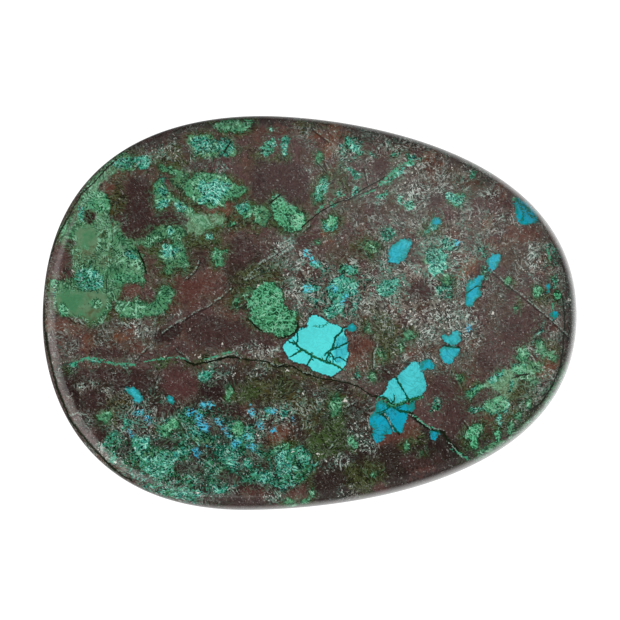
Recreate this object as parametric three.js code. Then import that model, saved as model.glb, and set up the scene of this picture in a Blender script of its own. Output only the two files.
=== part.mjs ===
// A worry stone of chrysocolla in its dark host rock, ground to a flat egg and polished all over.
// Millimetres, +Z up. The stone lies on its flat underside with the thumb hollow on top.
// The origin is on the underside, below the middle of the outline, and +X points to the narrow end.

import * as THREE from "three";
import { ParametricGeometry } from "three/addons/geometries/ParametricGeometry.js";

// The outline seen from above, which is also the stone's widest line. Four Bezier quarters join
// its extreme points. Each point's reach is the length of the tangent handle on that side.
const LENGTH = 45.0;
const WIDTH = 33.2;
const NARROW_END = { x: LENGTH / 2, y: -0.2, reachUp: 14.8, reachDown: 15.2 };
const FAR_SIDE = { x: -4.0, y: WIDTH / 2, reachNarrow: 5.6, reachBlunt: 6.2 };
const BLUNT_END = { x: -LENGTH / 2, y: -0.6, reachUp: 15.4, reachDown: 5.6 };
const NEAR_SIDE = { x: -5.4, y: -WIDTH / 2, reachNarrow: 5.6, reachBlunt: 14.2 };

// The cross-section. The stone is a little thicker at the blunt end, and its top edge is tighter
// on one side than on the other, as hand grinding leaves it. A fullness of 2 both ways rounds an
// edge as an ellipse. More fullness upright gives it a longer wall, and more across a wider flat.
const MIDDLE_HEIGHT = 7.2; // of the rim's crest, halfway along
const HEIGHT_CHANGE = 0.2; // more at the blunt end, less at the narrow end
const WIDEST_AT = 3.7; // height of the widest line
const FOOT_INSET = 2.4; // from the widest line in to the flat underside
const FOOT_FULLNESS = { across: 2.5, upright: 2.5 };
const CREST_INSET = 1.4; // from the widest line in to the rim's crest, halfway along
const CREST_INSET_CHANGE = 0.2; // more at the narrow end, less at the blunt end
const SHOULDER_FULLNESS = { across: 2, upright: 5 };
const FULLNESS_CHANGE = 2; // more upright on the tight side, less on the other
const TIGHT_SIDE = new THREE.Vector2(-0.87, 0.5);

// The thumb hollow reaches from the crest to its lowest point.
const HOLLOW_DEPTH = 1.2; // below the crest's middle height
const HOLLOW_CENTRE = new THREE.Vector2(-1.0, 0);
const HOLLOW_POWER = 2.4; // 2 is a plain bowl, and more flattens its floor
const CREST_SOFTNESS = 1.3; // 1 starts the hollow with an edge, and more rounds it over

// How finely the surface is cut into facets.
const STEPS_PER_QUARTER = 24;
const FOOT_STEPS = 8;
const SHOULDER_STEPS = 9;
const HOLLOW_STEPS = 9;

function outlinePoints() {
  const outline = new THREE.Path();
  outline.moveTo(NARROW_END.x, NARROW_END.y);
  outline.bezierCurveTo(
    NARROW_END.x,
    NARROW_END.y + NARROW_END.reachUp,
    FAR_SIDE.x + FAR_SIDE.reachNarrow,
    FAR_SIDE.y,
    FAR_SIDE.x,
    FAR_SIDE.y,
  );
  outline.bezierCurveTo(
    FAR_SIDE.x - FAR_SIDE.reachBlunt,
    FAR_SIDE.y,
    BLUNT_END.x,
    BLUNT_END.y + BLUNT_END.reachUp,
    BLUNT_END.x,
    BLUNT_END.y,
  );
  outline.bezierCurveTo(
    BLUNT_END.x,
    BLUNT_END.y - BLUNT_END.reachDown,
    NEAR_SIDE.x - NEAR_SIDE.reachBlunt,
    NEAR_SIDE.y,
    NEAR_SIDE.x,
    NEAR_SIDE.y,
  );
  outline.bezierCurveTo(
    NEAR_SIDE.x + NEAR_SIDE.reachNarrow,
    NEAR_SIDE.y,
    NARROW_END.x,
    NARROW_END.y - NARROW_END.reachDown,
    NARROW_END.x,
    NARROW_END.y,
  );
  const points = outline.getPoints(STEPS_PER_QUARTER);
  points.pop(); // the last point repeats the first
  return points;
}

// The direction into the stone, square to the outline, at each of its points.
function inwardDirections(points) {
  const count = points.length;
  return points.map((_, i) => {
    const before = points[(i + count - 1) % count];
    const after = points[(i + 1) % count];
    const along = after.clone().sub(before).normalize();
    return new THREE.Vector2(-along.y, along.x);
  });
}

// How far in and how high an edge has come after part of its quarter turn from upright to level,
// as shares of its whole width and height.
function roundedEdge(part, fullness) {
  const turn = part * (Math.PI / 2);
  return {
    across: part === 1 ? 1 : 1 - Math.cos(turn) ** (2 / fullness.across),
    upright: Math.sin(turn) ** (2 / fullness.upright),
  };
}

// One spoke of the surface, from the middle of the underside, over the edge, to the hollow's
// lowest point: the places where the surface cuts the upright plane at one outline point.
function spoke(widest, inward) {
  const alongStone = widest.x / (LENGTH / 2);
  const crestHeight = MIDDLE_HEIGHT - HEIGHT_CHANGE * alongStone;
  const crestInset = CREST_INSET + CREST_INSET_CHANGE * alongStone;
  const tightness = widest.clone().normalize().dot(TIGHT_SIDE);
  const shoulder = {
    across: SHOULDER_FULLNESS.across,
    upright: SHOULDER_FULLNESS.upright + FULLNESS_CHANGE * tightness,
  };
  const insetPoint = (inset) => widest.clone().addScaledVector(inward, inset);
  const places = [new THREE.Vector3(0, 0, 0)];
  for (let i = 0; i <= FOOT_STEPS; i++) {
    const { across, upright } = roundedEdge(1 - i / FOOT_STEPS, FOOT_FULLNESS);
    const flat = insetPoint(FOOT_INSET * across);
    places.push(new THREE.Vector3(flat.x, flat.y, WIDEST_AT * (1 - upright)));
  }
  for (let i = 1; i <= SHOULDER_STEPS; i++) {
    const { across, upright } = roundedEdge(i / SHOULDER_STEPS, shoulder);
    const flat = insetPoint(crestInset * across);
    const height = WIDEST_AT + (crestHeight - WIDEST_AT) * upright;
    places.push(new THREE.Vector3(flat.x, flat.y, height));
  }
  const crest = insetPoint(crestInset);
  const floorHeight = MIDDLE_HEIGHT - HOLLOW_DEPTH;
  for (let i = 1; i <= HOLLOW_STEPS; i++) {
    const share = i === HOLLOW_STEPS ? 0 : Math.cos((i / HOLLOW_STEPS) * (Math.PI / 2));
    const flat = HOLLOW_CENTRE.clone().lerp(crest, share);
    const rise = 1 - (1 - share ** HOLLOW_POWER) ** CREST_SOFTNESS;
    const height = floorHeight + (crestHeight - floorHeight) * rise;
    places.push(new THREE.Vector3(flat.x, flat.y, height));
  }
  return places;
}

function stoneGeometry() {
  const outline = outlinePoints();
  const inward = inwardDirections(outline);
  const spokes = outline.map((point, i) => spoke(point, inward[i]));
  const rings = spokes[0].length - 1;
  return new ParametricGeometry(
    (around, across, target) => {
      const i = Math.round(around * outline.length) % outline.length;
      target.copy(spokes[i][Math.round(across * rings)]);
    },
    outline.length,
    rings,
  );
}

const polishedRock = new THREE.MeshStandardMaterial({
  color: 0x4f5a4c,
  roughness: 0.25,
  metalness: 0,
});

const stone = new THREE.Mesh(stoneGeometry(), polishedRock);
stone.name = "stone";

const worryStone = new THREE.Group();
worryStone.add(stone);

export default worryStone;
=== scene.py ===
# %% [markdown]
# # A chrysocolla worry stone
#
# A worry stone is a flat piece of polished rock with a hollow on top for the thumb. This one is
# dark copper ore with green malachite and blue chrysocolla grown through it. The lesson loads the
# measured solid, models a finer stone in its place, paints the minerals by their real places,
# and lights it as a studio would.

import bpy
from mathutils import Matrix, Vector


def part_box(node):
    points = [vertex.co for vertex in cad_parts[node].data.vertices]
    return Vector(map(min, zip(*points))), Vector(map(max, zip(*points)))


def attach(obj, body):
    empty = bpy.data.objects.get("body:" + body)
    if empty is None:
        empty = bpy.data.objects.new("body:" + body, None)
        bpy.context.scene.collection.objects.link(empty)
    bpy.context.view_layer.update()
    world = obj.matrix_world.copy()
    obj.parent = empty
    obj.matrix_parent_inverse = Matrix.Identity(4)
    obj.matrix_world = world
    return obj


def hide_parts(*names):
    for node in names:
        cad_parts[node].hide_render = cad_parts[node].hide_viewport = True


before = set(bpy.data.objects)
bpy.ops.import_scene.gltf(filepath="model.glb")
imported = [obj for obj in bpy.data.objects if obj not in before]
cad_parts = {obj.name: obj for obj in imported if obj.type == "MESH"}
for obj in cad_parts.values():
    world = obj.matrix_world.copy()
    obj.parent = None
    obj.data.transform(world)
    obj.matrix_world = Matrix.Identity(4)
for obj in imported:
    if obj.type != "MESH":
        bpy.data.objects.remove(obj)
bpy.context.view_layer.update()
print("The frame's nodes:", sorted(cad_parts))

# %% Tools and units
import math

import bpy
import numpy as np
from mathutils import Vector

MM = 0.001  # lengths below are written in millimetres and multiplied by this
low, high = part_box("stone")
LENGTH = high.x - low.x
WIDTH = high.y - low.y
print(f"The stone is {LENGTH / MM:.1f} x {WIDTH / MM:.1f} x {(high.z - low.z) / MM:.1f} mm")

# %% [markdown]
# ## Camera
#
# The stone was photographed from straight above through a long lens, so that its edge shows
# the same way all round. The picture is 620 pixels wide and the stone fills 533.5 of them, which
# gives the width of the view. A camera one metre up with a narrow view does the same.

# %% Place the camera
PICTURE_SIDE = 620  # pixels
STONE_PIXELS = 533.5  # length of the stone in the picture
PIXEL = LENGTH / STONE_PIXELS  # the size of one picture pixel on the stone
STONE_CENTRE = (309.75, 313.0)  # where the middle of the outline is in the picture
CAMERA_HEIGHT = 1000 * MM
WIDEST_AT = 3.7 * MM  # height of the stone's widest line
SENSOR = 36.0


def on_stone(x, y):
    """Turns a place in the picture, in pixels, into metres on the stone."""
    return (x - STONE_CENTRE[0]) * PIXEL, (STONE_CENTRE[1] - y) * PIXEL


camera_x, camera_y = on_stone(PICTURE_SIDE / 2, PICTURE_SIDE / 2)
camera_data = bpy.data.cameras.new("camera")
camera_data.sensor_width = SENSOR
camera_data.lens = SENSOR * (CAMERA_HEIGHT - WIDEST_AT) / (PICTURE_SIDE * PIXEL)
camera = bpy.data.objects.new("camera", camera_data)
camera.location = (camera_x, camera_y, CAMERA_HEIGHT)
bpy.context.scene.collection.objects.link(camera)
bpy.context.scene.camera = camera
print(f"The lens is {camera_data.lens:.0f} mm on a {SENSOR:.0f} mm sensor")

# %% [markdown]
# ## Outline
#
# Seen from above the stone is an egg. A Bezier circle has four points, and an egg needs no more:
# one at each end and one on each side. Each point is moved to the place where the outline
# turns, and its two handles say how far it runs straight before it bends. The curve is then
# turned into a ring of mesh edges at the height where the stone is widest.

# %% Draw the outline
POINTS_PER_QUARTER = 240
NARROW_END = dict(at=(LENGTH / 2, -0.2 * MM), up=14.8 * MM, down=15.2 * MM)
FAR_SIDE = dict(at=(-4.0 * MM, WIDTH / 2), right=5.6 * MM, left=6.2 * MM)
BLUNT_END = dict(at=(-LENGTH / 2, -0.6 * MM), up=15.4 * MM, down=5.6 * MM)
NEAR_SIDE = dict(at=(-5.4 * MM, -WIDTH / 2), right=5.6 * MM, left=14.2 * MM)

bpy.ops.object.select_all(action="DESELECT")
bpy.ops.curve.primitive_bezier_circle_add(radius=LENGTH / 2)
stone = bpy.context.object
stone.name = "polished_stone"
stone.data.resolution_u = POINTS_PER_QUARTER


def set_curve_point(point, at, before, after):
    """Moves one curve point, with its handles given as steps from it."""
    point.handle_left_type = point.handle_right_type = "FREE"
    point.co = (at[0], at[1], WIDEST_AT)
    point.handle_left = (at[0] + before[0], at[1] + before[1], WIDEST_AT)
    point.handle_right = (at[0] + after[0], at[1] + after[1], WIDEST_AT)


corners = stone.data.splines[0].bezier_points
set_curve_point(corners[0], NARROW_END["at"], (0, -NARROW_END["down"]), (0, NARROW_END["up"]))
set_curve_point(corners[1], FAR_SIDE["at"], (FAR_SIDE["right"], 0), (-FAR_SIDE["left"], 0))
set_curve_point(corners[2], BLUNT_END["at"], (0, BLUNT_END["up"]), (0, -BLUNT_END["down"]))
set_curve_point(corners[3], NEAR_SIDE["at"], (-NEAR_SIDE["left"], 0), (NEAR_SIDE["right"], 0))
bpy.ops.object.convert(target="MESH")
print("The outline has", len(stone.data.vertices), "points")

# %% [markdown]
# ## Edge
#
# The edge of the real stone was rounded on a grinding wheel, tightly on top and more freely
# underneath. The outline is filled with one face, and that face is inset again and again. Each
# inset goes in by a small step and up by a small step, round a quarter turn, so that the faces
# left behind make the rounded edge. A fullness of 2 both ways would round it as an ellipse. More
# fullness upright gives it a longer wall under the corner, and more across a wider flat.

# %% Inset the shoulder
CREST_HEIGHT = 7.2 * MM  # of the rim's crest, halfway along the stone
CREST_INSET = 1.4 * MM  # from the widest line in to the crest
SHOULDER_FULLNESS = dict(across=2.0, upright=5.0)
SHOULDER_STEPS = 20


def edge_steps(width, height, fullness, steps):
    """The steps in and on of a rounded edge, from upright to level."""
    turns = [math.pi / 2 * i / steps for i in range(steps)]
    across = [1 - math.cos(turn) ** (2 / fullness["across"]) for turn in turns] + [1]
    upright = [math.sin(turn) ** (2 / fullness["upright"]) for turn in turns] + [1]
    return np.diff(across) * width, np.diff(upright) * height


def inset_edge(width, height, fullness, steps):
    """Insets the selected face step by step, which leaves a rounded edge behind it."""
    for inwards, onwards in zip(*edge_steps(width, height, fullness, steps)):
        bpy.ops.mesh.inset(thickness=inwards, depth=onwards, use_even_offset=True)


bpy.ops.object.mode_set(mode="EDIT")
bpy.ops.mesh.select_all(action="SELECT")
bpy.ops.mesh.edge_face_add()
bpy.ops.object.mode_set(mode="OBJECT")
if stone.data.polygons[0].normal.z < 0:
    stone.data.flip_normals()
bpy.ops.object.mode_set(mode="EDIT")
inset_edge(CREST_INSET, CREST_HEIGHT - WIDEST_AT, SHOULDER_FULLNESS, SHOULDER_STEPS)
bpy.ops.object.mode_set(mode="OBJECT")
crest_ring = [point.index for point in stone.data.vertices if point.co.z > CREST_HEIGHT - 0.001 * MM]
print("The shoulder has", len(stone.data.vertices), "points,", len(crest_ring), "of them on the crest")

# %% [markdown]
# ## Top face and underside
#
# The face that is left inside the crest has 960 corners. It has to bend into a hollow and carry
# small markings, so it is taken out and its ring is filled with a grid of small squares
# instead. The outline's ring is then filled once more, for the underside, and inset downwards
# in the same way as the shoulder. What is left of it is flat, and stays one face.

# %% Fill the top and inset the foot
FOOT_INSET = 2.4 * MM  # from the widest line in to the flat underside
FOOT_FULLNESS = dict(across=2.5, upright=2.5)
FOOT_STEPS = 12


def select_ring(height):
    """Selects the ring of points at one height, with the edges between them."""
    bpy.ops.object.mode_set(mode="EDIT")
    bpy.ops.mesh.select_mode(type="VERT")
    bpy.ops.mesh.select_all(action="DESELECT")
    bpy.ops.object.mode_set(mode="OBJECT")
    for point in stone.data.vertices:
        point.select = abs(point.co.z - height) < 0.001 * MM
    bpy.ops.object.mode_set(mode="EDIT")


bpy.ops.object.mode_set(mode="EDIT")
bpy.ops.mesh.delete(type="ONLY_FACE")
select_ring(CREST_HEIGHT)
bpy.ops.mesh.fill_grid(span=POINTS_PER_QUARTER)
select_ring(WIDEST_AT)
bpy.ops.mesh.edge_face_add()
inset_edge(FOOT_INSET, WIDEST_AT, FOOT_FULLNESS, FOOT_STEPS)
bpy.ops.mesh.select_all(action="SELECT")
bpy.ops.mesh.normals_make_consistent(inside=False)
bpy.ops.object.mode_set(mode="OBJECT")
print("The stone has", len(stone.data.vertices), "points")

# %% [markdown]
# ## Hand grinding
#
# Insets make the same edge all round, but a hand at the wheel doesn't. The real edge is tight
# on the left, where the picture shows a narrow light band with a thin dark line outside it,
# and rounder on the right, where it shades off softly. Each point's height tells how far it has
# turned from upright to level, and the same formula gives it a new height, with a fullness that
# changes with the direction. The crest also lies further in and lower at the narrow end.

# %% Grind the shoulder
FULLNESS_CHANGE = 2.0  # more upright on the tight side, less on the other
TIGHT_SIDE = (-0.87, 0.5)  # its direction, seen from above
CREST_SHIFT = 0.2 * MM  # how far the crest lies towards the blunt end
HEIGHT_CHANGE = 0.2 * MM  # more at the blunt end, less at the narrow end


def mesh_values(items, name, size):
    """Reads one value of every point or face into an array, one row each."""
    values = np.empty(len(items) * size)
    items.foreach_get(name, values)
    return values.reshape(-1, size) if size > 1 else values


place = mesh_values(stone.data.vertices, "co", 3)
lift = np.clip((place[:, 2] - WIDEST_AT) / (CREST_HEIGHT - WIDEST_AT), 0, 1)
turn = np.arcsin(lift ** (SHOULDER_FULLNESS["upright"] / 2))
reach = np.maximum(np.hypot(place[:, 0], place[:, 1]), MM)
fullness = SHOULDER_FULLNESS["upright"] + FULLNESS_CHANGE * (place[:, :2] @ TIGHT_SIDE) / reach
crest_height = CREST_HEIGHT - HEIGHT_CHANGE * place[:, 0] / (LENGTH / 2)
above = lift > 0
place[above, 2] = (WIDEST_AT + (crest_height - WIDEST_AT) * np.sin(turn) ** (2 / fullness))[above]
place[above, 0] -= CREST_SHIFT * (1 - np.cos(turn[above]))
crest = place[crest_ring]
print("The crest lies", (crest[:, 2].min() / MM).round(2), "to", (crest[:, 2].max() / MM).round(2), "mm up")

# %% [markdown]
# ## Thumb hollow
#
# The hollow takes up the whole top, and was ground by hand a little off the middle. Each point
# of the top asks how far it is from the hollow's middle, as a share of the way to the crest, and
# sinks by a power of that share. The outer power rounds the crest over, because no hand leaves a
# sharp edge on a stone that is made to be rubbed.

# %% Press in the hollow
HOLLOW_DEPTH = 1.2 * MM
HOLLOW_CENTRE = np.array([-1.0, 0.0]) * MM
HOLLOW_POWER = 2.4
CREST_SOFTNESS = 1.3


def around(points):
    """The direction and the distance of points from the hollow's middle."""
    away = points[:, :2] - HOLLOW_CENTRE
    return np.arctan2(away[:, 1], away[:, 0]), np.hypot(away[:, 0], away[:, 1])


crest_angle, crest_reach = around(crest)
order = np.argsort(crest_angle)
on_top = lift > 1 - 1e-6
angle, reach = around(place[on_top])
full_reach = np.interp(angle, crest_angle[order], crest_reach[order], period=2 * math.pi)
crest_z = np.interp(angle, crest_angle[order], crest[order, 2], period=2 * math.pi)
share = np.clip(reach / full_reach, 0, 1)
floor_z = CREST_HEIGHT - HOLLOW_DEPTH
place[on_top, 2] = floor_z + (crest_z - floor_z) * (1 - (1 - share**HOLLOW_POWER) ** CREST_SOFTNESS)
stone.data.vertices.foreach_set("co", place.ravel())
bpy.ops.object.shade_smooth()
print("The lowest point of the hollow is", (place[on_top, 2].min() / MM).round(2), "mm up")

# %% [markdown]
# ## Map of the minerals
#
# The stone is one piece of copper ore. Chrysocolla is the sky-blue mineral in it, malachite the
# green one, and the dark brown is rock rich in iron. Where they lie is what makes this stone
# itself, so their borders are drawn like a geologist's map, in pixels of the picture.
# Each mineral gets a list of outlines. The number before an outline is its tone, from 0 to 1,
# because two patches of one mineral are seldom the same colour.

# %% Map of the chrysocolla
# tone 0 is pale turquoise, 1 is deep blue
CHRYSOCOLLA = [
    # the two large patches
    (0.0, [(282, 346), (287, 341), (292, 338), (301, 328), (308, 327), (309, 318), (314, 314),
           (322, 318), (329, 323), (344, 328), (345, 335), (349, 345), (348, 356), (346, 364),
           (340, 371), (332, 376), (323, 375), (309, 366), (300, 362), (291, 360), (285, 354)]),
    (0.4, [(336, 338), (345, 334), (349, 347), (346, 360), (337, 364), (333, 352)]),
    (0.6, [(344, 328), (350, 323), (355, 324), (357, 329), (353, 332), (348, 331)]),
    (0.25, [(378, 396), (384, 390), (388, 382), (392, 379), (397, 378), (402, 370), (408, 366),
           (412, 362), (417, 360), (420, 371), (424, 374), (427, 386), (423, 393), (413, 400),
           (394, 406), (387, 400)]),
    (0.85, [(376, 399), (385, 399), (391, 406), (403, 402), (409, 403), (408, 414), (405, 424),
           (400, 433), (394, 431), (389, 435), (383, 436), (379, 442), (374, 440), (370, 435),
           (373, 427), (371, 420), (376, 412)]),
    (0.9, [(409, 402), (416, 400), (413, 411), (407, 412)]),
    # the blue patches to the right of them
    (0.6, [(420, 364), (425, 360), (430, 359), (434, 361), (435, 365), (432, 370), (423, 372)]),
    (0.5, [(438, 348), (446, 346), (459, 347), (461, 350), (457, 357), (453, 362), (449, 364),
           (444, 362), (440, 357)]),
    (0.45, [(439, 336), (444, 332), (449, 334), (454, 331), (459, 334), (460, 341), (456, 345),
           (442, 345), (443, 340)]),
    (0.5, [(387, 263), (389, 257), (390, 249), (396, 243), (404, 238), (411, 238), (413, 243),
           (412, 249), (407, 254), (404, 259), (391, 264)]),
    (0.8, [(512, 204), (516, 194), (522, 202), (528, 203), (536, 210), (537, 216), (536, 222),
           (528, 229), (518, 221), (514, 216)]),
    (0.6, [(487, 269), (486, 262), (490, 257), (495, 253), (501, 254), (501, 259), (498, 264),
           (493, 269), (489, 272)]),
    (0.6, [(465, 300), (464, 293), (466, 287), (476, 274), (484, 276), (482, 284), (481, 292),
           (476, 300), (471, 304), (467, 305)]),
    (0.9, [(549, 312), (553, 310), (557, 313), (555, 318), (550, 318)]),
    (0.9, [(428, 432), (433, 430), (438, 431), (434, 439), (431, 437)]),
    # the two drops on the lower left
    (0.5, [(125, 388), (131, 388), (135, 387), (139, 389), (139, 393), (143, 397), (143, 401),
           (139, 403), (135, 400), (134, 394)]),
    (0.6, [(167, 399), (171, 396), (174, 399), (174, 406)]),
    # small ones on the right
    (0.8, [(432, 221), (434, 217), (440, 217), (441, 223), (436, 226)]),
    (0.9, [(546, 284), (549, 283), (549, 292), (546, 292)]),
]
print("Patches of chrysocolla:", len(CHRYSOCOLLA))

# %% Map of the blue specks
# chrysocolla broken into strokes, most of it in the lower left; tone 0 is pale, 1 is deep blue
BLUE_SPECKS = [
    (0.8, [(187, 411), (192, 408), (197, 407), (197, 411), (190, 414)]),
    (0.7, [(196, 405), (200, 401), (206, 400), (216, 406), (214, 410), (208, 409)]),
    (0.9, [(196, 415), (200, 412), (208, 425), (208, 430), (201, 429), (196, 422)]),
    (0.8, [(214, 418), (219, 416), (224, 421), (229, 429), (230, 437), (225, 437)]),
    (0.9, [(204, 446), (208, 443), (214, 445), (210, 449), (205, 448)]),
    (0.9, [(193, 447), (199, 445), (201, 450), (197, 456), (193, 453)]),
    (0.4, [(244, 436), (250, 433), (253, 436), (248, 440)]),
    (0.6, [(250, 407), (255, 405), (258, 410), (255, 416), (251, 413)]),
    (0.5, [(256, 424), (262, 420), (265, 425), (262, 431), (257, 429)]),
    (0.6, [(263, 412), (270, 406), (277, 411), (274, 414), (268, 411)]),
    (0.9, [(289, 418), (293, 415), (297, 420), (293, 424)]),
    (0.7, [(231, 442), (236, 439), (239, 442), (235, 446)]),
    (0.9, [(247, 446), (252, 442), (257, 444), (252, 449)]),
    (0.5, [(128, 431), (131, 428), (134, 434), (131, 438)]),
    (0.8, [(145, 414), (149, 415), (152, 423), (148, 425)]),
    (0.3, [(133, 412), (138, 407), (145, 411), (142, 416)]),
    (0.9, [(270, 431), (273, 427), (278, 428), (275, 433)]),
    (0.1, [(302, 252), (308, 250), (322, 266), (312, 265)]),
    (0.1, [(302, 286), (312, 285), (316, 291), (306, 293)]),
    (0.2, [(326, 286), (334, 281), (340, 288), (334, 295)]),
    (0.3, [(340, 293), (347, 290), (349, 299), (342, 305), (337, 300)]),
    (0.9, [(466, 326), (470, 324), (472, 330), (468, 333)]),
    (0.6, [(452, 241), (457, 239), (460, 243), (455, 246)]),
]
print("Patches of blue specks:", len(BLUE_SPECKS))

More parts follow.
